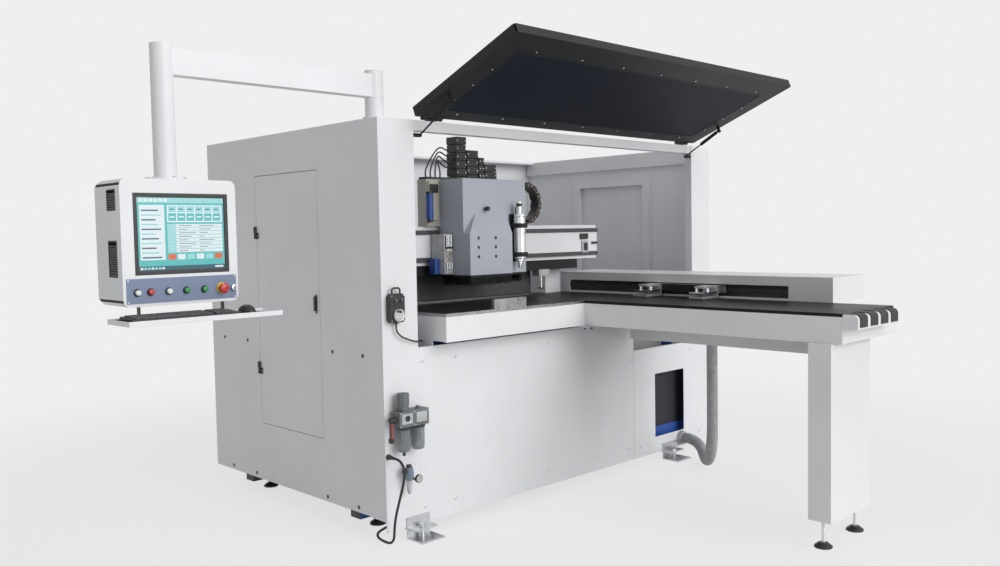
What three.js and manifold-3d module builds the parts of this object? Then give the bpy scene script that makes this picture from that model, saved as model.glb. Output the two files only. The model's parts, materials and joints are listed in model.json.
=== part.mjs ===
// A CNC drilling machining centre for panels: enclosure, lift-up hood, gantry drill head,
// in-feed table with gripper beam, swivelling control box and air service units.
// Millimetres, +Z up. While it is built, X runs along the front face from the left cabinet,
// Y runs back from the front face and Z starts on the floor.
import * as THREE from 'three';
import { mergeVertices } from 'three/addons/utils/BufferGeometryUtils.js';
import Module from 'manifold-3d';

const wasm = await Module();
wasm.setup();

// Clearances and sheet sizes that every piece shares
const gap = 0.3;
const overrun = 6;
const weld = 0.0005;
const sheet = 3;
const foldedEdge = 20;
const quarter = Math.PI / 2;
const roundSides = 14;
const smallSides = 8;
const tubeSides = 8;
const footSides = 10;

// Enclosure
const machine = { width: 2738, depth: 1655, height: 2000, skirtBottom: 54 };
const fromRight = (distance) => machine.width - distance;
const fromRear = (distance) => machine.depth - distance;
const behindRear = (distance) => machine.depth + distance;
const belowTop = (distance) => machine.height - distance;
const aboveTop = (distance) => machine.height + distance;
const cabinet = { width: 212, bottom: 110 };
const column = { width: 206, depth: 50 };
const wall = { thickness: 18, bandHeight: 100, bandDepth: 30 };
const door = { front: 510, rear: fromRear(538), bottom: 428, top: belowTop(211), thickness: 20,
  clearance: 3, skin: 2 };
const doorStop = { thickness: 3, overlap: 12, running: 2.5 };
const doorHinge = { leaf: 5, leafWidth: 24, barrel: 7, height: 66, lowerAt: 738, upperAt: belowTop(520) };
const doorLock = { plate: 4, width: 17, height: 95, at: 1113, inset: 25, lever: 10, leverWidth: 13,
  pivotDrop: 12 };
const doorTrim = { width: 40, depth: 20 };
const header = { height: 50, depth: 56, setback: 4 };
const rear = { thickness: 15, flange: 80, flangeThickness: 15 };
const frontPanel = { right: fromRight(838), top: 912, seam: 2 };
const rightPanel = {
  top: 723, windowLeft: fromRight(623), windowRight: fromRight(310), windowBottom: 155, windowTop: 555,
};

// Base frame of blue square tube, its feet and floor anchors
const base = { inset: 30, tube: 80, lowTube: 70, bottom: 60, top: 900, frontAt: 255, rearAt: fromRear(365),
  outerFoot: 165 };
const foot = { stem: 8, pad: 42, padHeight: 14, neck: 20, taper: 10, nut: 15, nutHeight: 12 };
const anchor = {
  width: 140, depth: 120, plate: 8, webHeight: 102, shelfDepth: 66, bolt: 10, head: 15, headHeight: 12,
  leftAt: 185, rightAt: fromRight(480),
};

// Work table and in-feed table
const table = { top: 1072, plate: 15, skirtBottom: 934, left: 303, apronAt: -104, back: fromRear(415),
  rib: 12 };
const slot = { at: 640, width: 60, left: 760, right: fromRight(1078) };
const stopBlock = { left: 627, right: 858, depth: 20, height: 50 };
const infeed = {
  left: fromRight(1414), right: fromRight(838), end: -1590, noseDepth: 70, noseBottom: 1004,
    noseRight: fromRight(984), corner: 22,
};
const strip = { count: 4, width: 74, first: 20, pitch: 108, proud: 3, bottom: 1012 };
const underBeam = { height: 57, bottom: 823, left: fromRight(1014), right: fromRight(858), rear: -110,
  front: -1418 };
const underBlock = { front: -1418, rear: -1330, bottom: 865, left: fromRight(1098) };
const webShares = [0.742, 0.402, 0.151];
const leg = { left: fromRight(1438), right: fromRight(1038), front: -1550, rear: -1440, bottom: 125,
  top: 934, side: 78 };

// Gripper beam and carriage
const beam = { left: fromRight(873), right: fromRight(509), top: 1200, front: -1286, back: 560, skin: 4 };
const beamSlot = { front: -1042, back: 480, bottom: 1084, top: 1150 };
const gripRail = { width: 22, height: 18, backing: 60 };
const carriage = { height: 44, top: 1144, thickness: 26 };
const jaw = { length: 150, width: 92, thickness: 12, cylinder: 9, apart: 46, opening: 9, lift: 16 };
const jawPlaces = { front: -590, rear: -210 };

// Gantry and drill head
const gantry = { left: 320, right: fromRight(683), front: 400, depth: 130, bottom: 1285, top: 1497,
  skin: 6 };
const gantryPost = { width: 140, depth: 130, leftAt: 460, rightAt: fromRight(1048) };
const gantryRail = { height: 24, depth: 16, inset: 20 };
const head = { left: 702, right: 1175, front: 200, bottom: 1234, top: 1750, skin: 4 };
const nose = { right: 1018, front: 150, shoulder: 1455, shoulderTop: 1567, taper: 88, holeRadius: 5 };
const noseHoles = { first: 62, pitch: 127, columns: 2, top: 1431, drop: 50, rows: 3 };
const saddle = { left: 702, right: 1175, thickness: 14, reach: 60 };
const sideUnit = { width: 58, front: 292, bottom: 1240, top: 1455, motorReach: 92, motorTop: 1752 };
const drills = { left: 745, right: 975, front: 190, back: 300, bottom: 1290, top: 1440, slideBottom: 1380,
  slideTop: 1640, bore: 9, running: 0.6 };
const bit = { chuck: 8, collar: 12, collarHeight: 14, length: 90, shank: 4, tip: 1.2, apart: 120,
  inset: 70 };
const router = { radius: 33, x: 1078, y: 152, bottom: 1296, top: 1560, neck: 14, neckTop: 1631, clamp: 12,
  clampHeight: 26 };
const collet = { radius: 13, height: 34, shank: 5, reach: 40 };
const brush = { backing: 12, height: 60, inset: 6, strand: 2.6, pitch: 8, rows: 3, rowPitch: 7 };
const chain = { radius: 119, link: 32, width: 62, links: 11, x: 1228, y: 262, z: 1624, bore: 4 };
const tower = { left: 868, back: 520, front: 430 };
// Reach of each step from the tower's left side, and its rise from the seat on the saddle
const towerSteps = [[81, 488.4], [172, 416.4], [218, 378.4], [316, 341.4]];
const lowerDrill = { width: 200, depth: 90, bit: 12, bits: 4, rise: 9, at: 980 };
const gantryChannel = { right: fromRight(858), front: 428, back: 512, bottom: 1225 };
const presser = { width: 92, depth: 60, height: 40, at: fromRight(1178), rod: 8, rodLength: 70, pad: 20,
  padHeight: 8 };

// Hood, hinged along the header, and its two gas struts
const hood = {
  left: 205, right: fromRight(203), length: 760, start: 12, thickness: 42, border: 140, rearBorder: 95,
    skin: 3,
  openAngle: 22, axisY: -2, axisZ: aboveTop(10), corner: 16,
};
const hoodHinge = { barrel: 8, inner: 60, outer: 34, leaf: 3, reach: 34, plateDepth: 44, fromLeft: 120,
  fromRight: 120 };
const strut = {
  drop: 80, setback: 14, along: 238, below: 30, leftAt: 260, rightAt: fromRight(254), eye: 9, eyeWidth: 10,
    pin: 4.4, neck: 14,
  pinRunning: 0.6, rod: 4.5, cylinder: 11, cylinderLength: 146, boreRunning: 0.6, tipClear: 18, plate: 5,
};

// Boom, control box and what it carries
const boom = { postX: 62, postY: 100, radius: 44.5, fixedTop: aboveTop(96), sleeveTop: aboveTop(225),
  reach: 1028, wall: 5, cap: 6 };
const arm = { bottom: aboveTop(100), top: aboveTop(205), width: 60 };
const flange = { radius: 84, thickness: 10 };
const box = { width: 466, depth: 236, bottom: 1202, top: 1684, corner: 26, skin: 3, slant: 30 };
const bezel = { left: 48, right: 430, bottom: 118, top: 428, depth: 14, rim: 14 };
const strip2 = { left: 12, right: 457, bottom: 12, top: 106, proud: 2 };
const vent = { width: 84, front: 40 };
const ventShares = [[0.75, 0.92], [0.23, 0.52]];
const button = { radius: 11, travel: 4, height: 12, z: 54, running: 0.3, stem: 7, stemLength: 14 };
const buttonShares = [0.112, 0.221, 0.373, 0.526, 0.685];
const stopButton = { radius: 20, height: 22, neck: 11, at: 394, travel: 6 };
const key = { radius: 12, height: 14, at: 443, grip: 5, gripHeight: 10, running: 1 };
const tray = { left: -36, right: 590, front: -132, back: 28, bottom: 1140, thickness: 20, lip: 4 };
const keyboard = { width: 430, depth: 128, height: 16, left: 20, keyRise: 4, keyRows: 4, keyColumns: 11 };
const mouse = { width: 62, length: 100, height: 34, left: 500 };

// Hand pendant, air service units and cables
const pendant = { left: 24, width: 84, bottom: 1046, top: 1182, depth: 34, standoff: 3, handle: 30, bar: 9,
  corner: 12 };
const dial = { radius: 30, height: 12, rise: 36, stem: 6.8, knob: 8, knobHeight: 14, knobRise: 104,
  knobApart: 34 };
const pendantCable = { radius: 4 };
const filter = {
  left: 26, width: 92, second: 92, depth: 64, bottom: 553, top: 636, bowl: 32, bowlDepth: 114, drain: 8,
  drainDepth: 19, standoff: 18, capRise: 25, cap: 28, knob: 30, knobHeight: 54, bodyGap: 6,
};
const lever = { hub: 16, hubLength: 22, length: 105, width: 16, thickness: 8, grip: 22, z: 596 };
const miniReg = {
  x: 104, y: -44, z: 328, body: 22, height: 60, port: 14, gauge: 20, gaugeDepth: 14, gaugeDrop: 26,
    bowl: 12, bowlDepth: 68, cap: 13,
};
const gland = { x: 15, z: 416, radius: 11, nut: 13, nutLength: 12, coneLength: 30, tip: 7.5 };
const powerCable = { radius: 6 };
const coil = { turns: 4, radius: 84, spare: 2.4, steps: 24, sides: 6, x: 300, y: behindRear(125),
  tail: 66 };
const plug = { radius: 19, length: 60, neck: 9, pin: 3.5 };
const hose = { radius: 33, valley: 29, bore: 26, ribs: 52, socket: 44, socketLength: 26, x: fromRight(348),
  z: 108, topX: fromRight(738), topY: -490 };

const colours = {
  white: 0xe4e6ea, grey: 0xb4b7bd, blueGrey: 0xaab0bf, navy: 0x2b3148, black: 0x1c1e20, tableTop: 0x2a2c2e,
  blue: 0x1f4f9c, steel: 0x9a9ea3, silver: 0xc9ccd0, filterGrey: 0x7e8286, hoseGrey: 0x9b9ea1,
    red: 0xc8281e,
  green: 0x1f8a4c, cream: 0xeceff2, screen: 0x8fc9cb, cable: 0x151617,
};

// A closed three.js geometry becomes a solid that can be joined and cut.
function solid(geometry) {
  const bare = geometry.clone();
  bare.deleteAttribute('normal');
  bare.deleteAttribute('uv');
  const merged = mergeVertices(bare, weld);
  const vertProperties = Float32Array.from(merged.attributes.position.array);
  const triVerts = Uint32Array.from(merged.index.array);
  return new wasm.Manifold(new wasm.Mesh({ numProp: 3, vertProperties, triVerts }));
}

// An axis-aligned block between pairs of limits
function block([x0, x1], [y0, y1], [z0, z1]) {
  const geometry = new THREE.BoxGeometry(x1 - x0, y1 - y0, z1 - z0);
  geometry.translate((x0 + x1) / 2, (y0 + y1) / 2, (z0 + z1) / 2);
  return solid(geometry);
}

// The four corners of a level rectangle
function corners([x0, x1], [y0, y1], z) {
  return [[x0, y0, z], [x1, y0, z], [x1, y1, z], [x0, y1, z]];
}

// The convex solid that spans a set of points
function convex(points) {
  return wasm.Manifold.hull(points);
}

// Turns a shape drawn in XY and raised along Z so that it is raised along the named axis.
function alongAxis(geometry, axis) {
  const X = new THREE.Vector3(1, 0, 0);
  const Y = new THREE.Vector3(0, 1, 0);
  const Z = new THREE.Vector3(0, 0, 1);
  const basis = new THREE.Matrix4();
  if (axis === 'x') basis.makeBasis(Y, Z, X);
  else if (axis === 'y') basis.makeBasis(Z, X, Y);
  else basis.makeBasis(X, Y, Z);
  return geometry.applyMatrix4(basis);
}

// A round bar along an axis: its centre is given in the two other axes, in the order
// y,z for x, then z,x for y and x,y for z.
function bar(axis, radius, from, to, [a, b], sides = roundSides, endRadius = radius) {
  const geometry = new THREE.CylinderGeometry(endRadius, radius, to - from, sides);
  geometry.rotateX(quarter);
  geometry.translate(a, b, (from + to) / 2);
  return solid(alongAxis(geometry, axis));
}

// An outline raised along an axis; its points are y,z for x, then z,x for y and x,y for z.
function prism(points, axis, from, to) {
  const shape = new THREE.Shape(points.map(([u, v]) => new THREE.Vector2(u, v)));
  const geometry = new THREE.ExtrudeGeometry(shape, { depth: to - from, bevelEnabled: false });
  geometry.translate(0, 0, from);
  return solid(alongAxis(geometry, axis));
}

// A rectangle with rounded corners as an outline
function roundedOutline(u0, u1, v0, v1, radius, steps = 4) {
  const corners = [[u1 - radius, v0 + radius, 3], [u1 - radius, v1 - radius, 0],
    [u0 + radius, v1 - radius, 1], [u0 + radius, v0 + radius, 2]];
  return corners.flatMap(([u, v, turn]) => Array.from({ length: steps + 1 }, (_, i) => {
    const angle = quarter * (turn + i / steps);
    return [u + radius * Math.cos(angle), v + radius * Math.sin(angle)];
  }));
}

// A profile of radius and height pairs, turned about a vertical line
function turned(profile, [x, y], sides = roundSides) {
  const geometry = new THREE.LatheGeometry(profile.map(([r, h]) => new THREE.Vector2(r, h)), sides);
  geometry.rotateX(quarter);
  geometry.translate(x, y, 0);
  return solid(geometry);
}

// A tube that follows points on a smooth curve
function tube(points, radius, sides, steps) {
  const curve = new THREE.CatmullRomCurve3(points.map((p) => new THREE.Vector3(...p)), false,
    'centripetal');
  const ring = Array.from({ length: sides }, (_, i) => {
    const angle = (4 * quarter * i) / sides;
    return new THREE.Vector2(radius * Math.cos(angle), radius * Math.sin(angle));
  });
  return solid(new THREE.ExtrudeGeometry(new THREE.Shape(ring),
    { steps, extrudePath: curve, bevelEnabled: false }));
}

// A closed surface through rings of points; the last ring of a tube with a bore meets its first.
function ringSurface(rings, closed) {
  const sides = rings[0].length;
  const positions = rings.flat().flatMap((p) => [p.x, p.y, p.z]);
  const indices = [];
  const spans = closed ? rings.length : rings.length - 1;
  for (let r = 0; r < spans; r += 1) {
    const next = (r + 1) % rings.length;
    for (let i = 0; i < sides; i += 1) {
      const j = (i + 1) % sides;
      indices.push(r * sides + i, r * sides + j, next * sides + j, r * sides + i, next * sides + j,
        next * sides + i);
    }
  }
  if (!closed) {
    const last = (rings.length - 1) * sides;
    for (let i = 1; i < sides - 1; i += 1) {
      indices.push(0, i + 1, i, last, last + i, last + i + 1);
    }
  }
  const geometry = new THREE.BufferGeometry();
  geometry.setAttribute('position', new THREE.BufferAttribute(Float32Array.from(positions), 3));
  geometry.setIndex(indices);
  return solid(geometry);
}

// Rings of points square to a path; each station has its centre, its tangent and its radius.
function pathRings(stations, sides) {
  let normal = null;
  return stations.map(({ centre, tangent, radius }) => {
    if (!normal) normal = new THREE.Vector3(0, 0, 1).cross(tangent).length() > 0.1 ? new THREE.Vector3(0, 0,
      1) : new THREE.Vector3(0, 1, 0);
    normal = normal.clone().addScaledVector(tangent, -normal.dot(tangent)).normalize();
    const side = new THREE.Vector3().crossVectors(tangent, normal);
    return Array.from({ length: sides }, (_, i) => {
      const angle = (4 * quarter * i) / sides;
      return centre.clone().addScaledVector(normal, radius * Math.cos(angle)).addScaledVector(side,
        radius * Math.sin(angle));
    });
  });
}

function join(...pieces) {
  return pieces.flat().reduce((whole, piece) => whole.add(piece));
}

function cut(body, ...tools) {
  return tools.flat().reduce((rest, tool) => rest.subtract(tool), body);
}

const part = new THREE.Group();

// Adds a named mesh with its own material; a place and a tilt about X move it as one piece.
function addPiece(name, shape, colour, roughness, metalness, place = [0, 0, 0], tiltX = 0) {
  const { vertProperties, triVerts } = shape.getMesh();
  const geometry = new THREE.BufferGeometry();
  geometry.setAttribute('position', new THREE.BufferAttribute(Float32Array.from(vertProperties), 3));
  geometry.setIndex(new THREE.BufferAttribute(Uint32Array.from(triVerts), 1));
  geometry.computeVertexNormals();
  const mesh = new THREE.Mesh(geometry,
    new THREE.MeshStandardMaterial({ color: colour, roughness, metalness }));
  mesh.name = name;
  mesh.position.set(...place);
  mesh.rotation.x = tiltX;
  part.add(mesh);
  return mesh;
}

const around = (centre, half) => [centre - half, centre + half];
const grown = ([from, to], by) => [from - by, to + by];
const doorY = [door.front, door.rear];
const doorZ = [door.bottom, door.top];
const hingePlaces = [doorHinge.lowerAt, doorHinge.upperAt];
const tableUnder = table.top - table.plate;

// A door opening with its return walls and stop flange, for a skin whose outer face is at x.
// The side is 1 when the door opens towards -X and -1 when it opens towards +X.
function doorFrame(x, side) {
  const deep = door.thickness + doorStop.running + doorStop.thickness;
  const ring = block(range(x, side * deep), grown(doorY, sheet), grown(doorZ, sheet));
  const pocket = block(range(x - side * overrun, side * (overrun + door.thickness + doorStop.running)),
    doorY, doorZ);
  const through = block(range(x - side * overrun, side * (deep + 2 * overrun)),
    grown(doorY, -doorStop.overlap), grown(doorZ, -doorStop.overlap));
  return cut(ring, pocket, through);
}

function range(start, length) {
  return length > 0 ? [start, start + length] : [start + length, start];
}

// The black hinge leaves that stay on the frame, at both heights
function fixedHinges(x, side) {
  const axisX = x - side * (doorHinge.leaf + doorHinge.barrel / 2);
  const axisY = door.rear - door.clearance / 2;
  return hingePlaces.flatMap((z) => {
    const upper = [z + gap / 2, z + doorHinge.height / 2];
    return [
      block(range(x, -side * doorHinge.leaf), [axisY, axisY + doorHinge.leafWidth], upper),
      bar('z', doorHinge.barrel, ...upper, [axisX, axisY], smallSides),
    ];
  });
}

// A folded door pan with its hinge leaves; the lock side is at the front.
function doorLeaf(x, side) {
  const axisX = x - side * (doorHinge.leaf + doorHinge.barrel / 2);
  const axisY = door.rear - door.clearance / 2;
  const leafY = grown(doorY, -door.clearance);
  const leafZ = grown(doorZ, -door.clearance);
  const pan = cut(
    block(range(x, side * door.thickness), leafY, leafZ),
    block(range(x + side * door.skin, side * (door.thickness + overrun)), grown(leafY, -door.skin),
      grown(leafZ, -door.skin)),
  );
  const hinges = hingePlaces.flatMap((z) => {
    const lower = [z - doorHinge.height / 2, z - gap / 2];
    return [
      block(range(x, -side * doorHinge.leaf), [axisY - doorHinge.leafWidth, axisY], lower),
      block(range(x, side * door.skin), [axisY - doorHinge.leafWidth, leafY[1]], lower),
      bar('z', doorHinge.barrel, ...lower, [axisX, axisY], smallSides),
    ];
  });
  const plate = block(range(x, -side * doorLock.plate),
    [door.front + doorLock.inset, door.front + doorLock.inset + doorLock.width],
    around(doorLock.at, doorLock.height / 2));
  return join(pan, hinges, plate);
}

// Left cabinet: a welded sheet box with its door opening, hinge leaves and skirt
function leftHousing() {
  const inner = cut(
    block([0, cabinet.width], [0, machine.depth], [cabinet.bottom, machine.height]),
    block([sheet, cabinet.width - sheet], [sheet, machine.depth - sheet],
      [cabinet.bottom + sheet, machine.height - sheet]),
    block([-overrun, sheet + overrun], doorY, doorZ),
  );
  const skirt = block([0, cabinet.width], [0, sheet], [machine.skirtBottom, cabinet.bottom + sheet]);
  const struts = strutBracket(cabinet.width, strut.leftAt, 1);
  return join(inner, skirt, doorFrame(0, 1), fixedHinges(0, 1), struts, boomPost(), cableGland());
}

const strutPivot = { y: hood.axisY + strut.setback, z: hood.axisZ - strut.drop };

// A bracket with its pin that carries the lower end of a gas strut, on a face at x
function strutBracket(x, strutX, side) {
  const reach = Math.abs(strutX - x) - strut.eyeWidth / 2 - gap;
  const plateX = range(x, side * reach);
  const outline = [
    [strutPivot.y - strut.eye, strutPivot.z - strut.eye],
      [strutPivot.y + strut.eye, strutPivot.z - strut.eye],
    [strutPivot.y + 2 * strut.eye, strutPivot.z + strut.eye],
      [strutPivot.y - strut.eye / 2, strutPivot.z + strut.eye],
  ];
  const arm = prism(outline, 'x', ...plateX);
  const pinEnd = strutX + side * (strut.eyeWidth / 2 + gap + strut.plate);
  const pin = bar('x', strut.pin, ...range(x, pinEnd - x), [strutPivot.y, strutPivot.z], smallSides);
  const headX = range(pinEnd - side * strut.plate, side * strut.plate);
  return join(arm, pin, bar('x', strut.pin * 1.6, ...headX, [strutPivot.y, strutPivot.z], smallSides));
}

// Mounting plate inside the cabinet, with its rows of switchgear on standoffs
function electricsPlate() {
  const plate = { front: 300, back: fromRear(335), bottom: 300, top: belowTop(180), thickness: 3, x: 172 };
  const device = { width: 150, depth: 70, height: 190, rows: 4, columns: 4 };
  const pitchY = (plate.back - plate.front) / device.columns;
  const pitchZ = (plate.top - plate.bottom) / device.rows;
  const devices = [];
  for (let row = 0; row < device.rows; row += 1) {
    for (let columnIndex = 0; columnIndex < device.columns; columnIndex += 1) {
      const y = plate.front + pitchY * (columnIndex + 0.5);
      const z = plate.bottom + pitchZ * (row + 0.5);
      const depth = device.depth * (1 - 0.15 * ((row + columnIndex) % 3));
      devices.push(block([plate.x - depth, plate.x], around(y, device.width / 2),
        around(z, device.height / 2)));
    }
  }
  const standoffs = [plate.front + foldedEdge,
    plate.back - foldedEdge].flatMap((y) => [plate.bottom + foldedEdge,
    plate.top - foldedEdge].map((z) => bar('x', foldedEdge / 2, plate.x, cabinet.width - sheet - gap,
      [y, z], smallSides)));
  return join(block([plate.x, plate.x + plate.thickness], [plate.front, plate.back],
    [plate.bottom, plate.top]), devices, standoffs);
}

const lockPivotZ = doorLock.at + doorLock.height / 2 - doorLock.pivotDrop;

// Swing lever of the cabinet lock
function lockLever() {
  const x = -doorLock.plate - gap;
  const y = door.front + doorLock.inset + doorLock.width / 2;
  const half = doorLock.leverWidth / 2;
  const hub = bar('y', doorLock.lever / 2, y - half, y + half, [lockPivotZ, x - doorLock.lever / 2],
    smallSides);
  const grip = block([x - doorLock.lever, x], around(y, half),
    [doorLock.at - doorLock.height / 2 + doorLock.pivotDrop, lockPivotZ]);
  return join(hub, grip);
}

const wallX = [machine.width - wall.thickness, machine.width];

// Right column, side wall with its framed door opening, stiffening band and strut bracket
function rightHousing() {
  const inner = wallX[0];
  const left = machine.width - column.width;
  const post = cut(
    block([left, machine.width], [0, column.depth], [machine.skirtBottom, machine.height]),
    block([left - overrun, machine.width + overrun], [-overrun, sheet + gap], [0, rightPanel.top + gap]),
  );
  const skin = block(wallX, [column.depth, machine.depth], [machine.skirtBottom, machine.height]);
  const band = block([inner - wall.bandDepth, inner + sheet],
    [column.depth - sheet, machine.depth - rear.thickness - gap],
    [machine.height - wall.bandHeight, machine.height]);
  const trim = block([inner - doorTrim.depth, inner], grown(doorY, doorTrim.width),
    grown(doorZ, doorTrim.width));
  const opening = block([inner - doorTrim.depth - overrun, machine.width + overrun],
    grown(doorY, -doorStop.overlap), grown(doorZ, -doorStop.overlap));
  const pocketDepth = door.thickness + doorStop.running;
  const pocket = block([machine.width - pocketDepth, machine.width + overrun], doorY, doorZ);
  return join(cut(join(post, skin, band, trim), opening, pocket), fixedHinges(machine.width, -1),
    strutBracket(left, strut.rightAt, -1));
}

// Rectangular header tube that carries the hood hinges
function headerBeam() {
  const x = [cabinet.width + gap, machine.width - column.width - gap];
  const y = [header.setback, header.setback + header.depth];
  const z = [machine.height - header.height, machine.height];
  const hinges = hoodHingePlaces().flatMap((centre) => {
    const width = around(centre, hoodHinge.inner / 2 - gap);
    return [
      block(width, [hood.axisY, hoodHinge.plateDepth],
        [machine.height, machine.height + hoodHinge.leaf + gap]),
      bar('x', hoodHinge.barrel, ...width, [hood.axisY, hood.axisZ], smallSides),
    ];
  });
  const tubeBody = cut(block(x, y, z), block(grown(x, overrun), grown(y, -sheet), grown(z, -sheet)));
  return join(tubeBody, hinges);
}

function hoodHingePlaces() {
  return [hood.left + hoodHinge.fromLeft, hood.right - hoodHinge.fromRight];
}

function rearPanel() {
  const x = [cabinet.width + gap, wallX[0] - gap];
  const skin = cut(
    block(x, [machine.depth - rear.thickness, machine.depth], [machine.skirtBottom, machine.height]),
    block(grown(x, -foldedEdge), [machine.depth - rear.thickness - overrun, machine.depth - sheet],
      [machine.skirtBottom + foldedEdge, machine.height - foldedEdge]),
  );
  const bandX = [x[0], x[1] - wall.bandDepth - gap];
  const lip = block(bandX, [machine.depth - rear.thickness - rear.flange, machine.depth - rear.thickness],
    [machine.height - rear.flangeThickness, machine.height]);
  return join(skin, lip);
}

// A cover sheet with edges folded back, as wide as its limits
function foldedPanel(x, z) {
  return cut(block(x, [0, foldedEdge], z),
    block(grown(x, -sheet), [sheet, foldedEdge + overrun], grown(z, -sheet)));
}

function frontCover() {
  return foldedPanel([cabinet.width + gap, frontPanel.right - frontPanel.seam / 2],
    [machine.skirtBottom, frontPanel.top]);
}

// Lower right cover with the window through which the frame shows, and the hose socket
function rightCover() {
  const x = [frontPanel.right + frontPanel.seam / 2, machine.width];
  const z = [machine.skirtBottom, rightPanel.top];
  const stepX = machine.width - column.width - gap;
  const window = block([rightPanel.windowLeft, rightPanel.windowRight], [-overrun, foldedEdge + overrun],
    [rightPanel.windowBottom, rightPanel.windowTop]);
  const flat = block(x, [0, sheet], z);
  const fold = cut(block([x[0], stepX], [0, foldedEdge], z),
    block(grown([x[0], stepX], -sheet), [sheet, foldedEdge + overrun], grown(z, -sheet)));
  const socket = bar('y', hose.socket, -hose.socketLength, sheet, [hose.z, hose.x]);
  const hole = bar('y', hose.bore, -hose.socketLength - overrun, sheet + overrun, [hose.z, hose.x]);
  return cut(join(flat, fold, socket), window, hole);
}

// Where the gantry posts stand, front to back
function postY() {
  const front = gantry.front + gantry.depth + gap;
  return [front, front + gantryPost.depth];
}

// Blue tube frame: two rings joined by posts, outriggers under the cabinet and gantry posts
function baseFrame() {
  const left = cabinet.width + gap + base.inset;
  const right = wallX[0] - wall.bandDepth - base.inset;
  const rows = [base.frontAt, base.rearAt];
  const stations = [left, (left + right - base.tube) / 2, right - base.tube];
  const deep = [base.frontAt, base.rearAt + base.tube];
  const pieces = rows.flatMap((y) => [
    block([left, right], [y, y + base.tube], [base.bottom, base.bottom + base.lowTube]),
    block([left, right], [y, y + base.tube], [base.top - base.tube, base.top]),
    block([base.inset, left + base.tube], [y, y + base.tube], [base.bottom, cabinet.bottom - gap]),
  ]);
  stations.forEach((x) => {
    rows.forEach((y) => pieces.push(block([x, x + base.tube], [y, y + base.tube],
      [base.bottom, base.top])));
    pieces.push(block([x, x + base.tube], deep, [base.bottom, base.bottom + base.lowTube]));
    pieces.push(block([x, x + base.tube], deep, [base.top - base.tube, base.top]));
  });
  [gantryPost.leftAt, gantryPost.rightAt].forEach((x) => {
    const y = postY();
    pieces.push(block([x, x + gantryPost.width], [y[0], deep[1]], [base.top - base.tube, base.top]));
    pieces.push(block([x, x + gantryPost.width], y, [base.top - sheet, gantry.top]));
  });
  pieces.push(block([gantryPost.leftAt, gantryPost.rightAt + sheet], around(slot.at, base.tube / 2),
    [base.top - base.tube, base.top]));
  return join(pieces, frameFeet(), anchorPlates());
}

// A levelling foot screwed into what stands on it: pad, neck, threaded stem and lock nut
function levelFoot(x, y, top) {
  const stemTop = top + sheet / 2;
  const pad = turned([[0, 0], [foot.pad, 0], [foot.pad, foot.padHeight / 2],
    [foot.neck, foot.padHeight + foot.taper],
    [foot.stem, foot.padHeight + foot.taper], [foot.stem, stemTop], [0, stemTop]], [x, y], footSides);
  const nut = bar('z', foot.nut, top - foot.nutHeight, stemTop, [x, y], 6);
  return join(pad, nut);
}

function frameFeet() {
  const half = base.tube / 2;
  const right = wallX[0] - wall.bandDepth - base.inset - half;
  const middle = (cabinet.width + gap + base.inset + right + half) / 2;
  return [base.outerFoot, middle, right].flatMap((x) => [base.frontAt + half, base.rearAt + half]
    .map((y) => levelFoot(x, y, base.bottom)));
}

function legFeet() {
  const y = (leg.front + leg.rear) / 2;
  return [leg.left + leg.side / 2, leg.right - leg.side / 2].map((x) => levelFoot(x, y, leg.bottom));
}

// Floor anchors in front of the machine: an angle with a bolt, on a shelf that runs back to the frame
function anchorPlates() {
  return [anchor.leftAt, anchor.rightAt].map((x) => {
    const width = around(x, anchor.width / 2);
    const back = -gap;
    const shelfTop = machine.skirtBottom - 2 * gap;
    const floorPlate = block(width, [back - anchor.depth, back], [0, anchor.plate]);
    const web = block(width, [back - anchor.plate, back], [0, anchor.webHeight]);
    const shelf = block(width, [back - anchor.shelfDepth, base.frontAt + foldedEdge],
      [shelfTop - anchor.plate, shelfTop]);
    const riser = block(width, [base.frontAt + sheet, base.frontAt + foldedEdge],
      [shelfTop - anchor.plate, base.bottom + sheet]);
    const at = [x, back - anchor.shelfDepth + 2 * anchor.head];
    const headTop = shelfTop + anchor.headHeight;
    const bolt = bar('z', anchor.bolt, anchor.plate / 2, headTop, at, smallSides);
    const boltHead = bar('z', anchor.head, shelfTop - sheet, headTop, at, 6);
    return join(floorPlate, web, shelf, riser, bolt, boltHead);
  });
}

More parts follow.
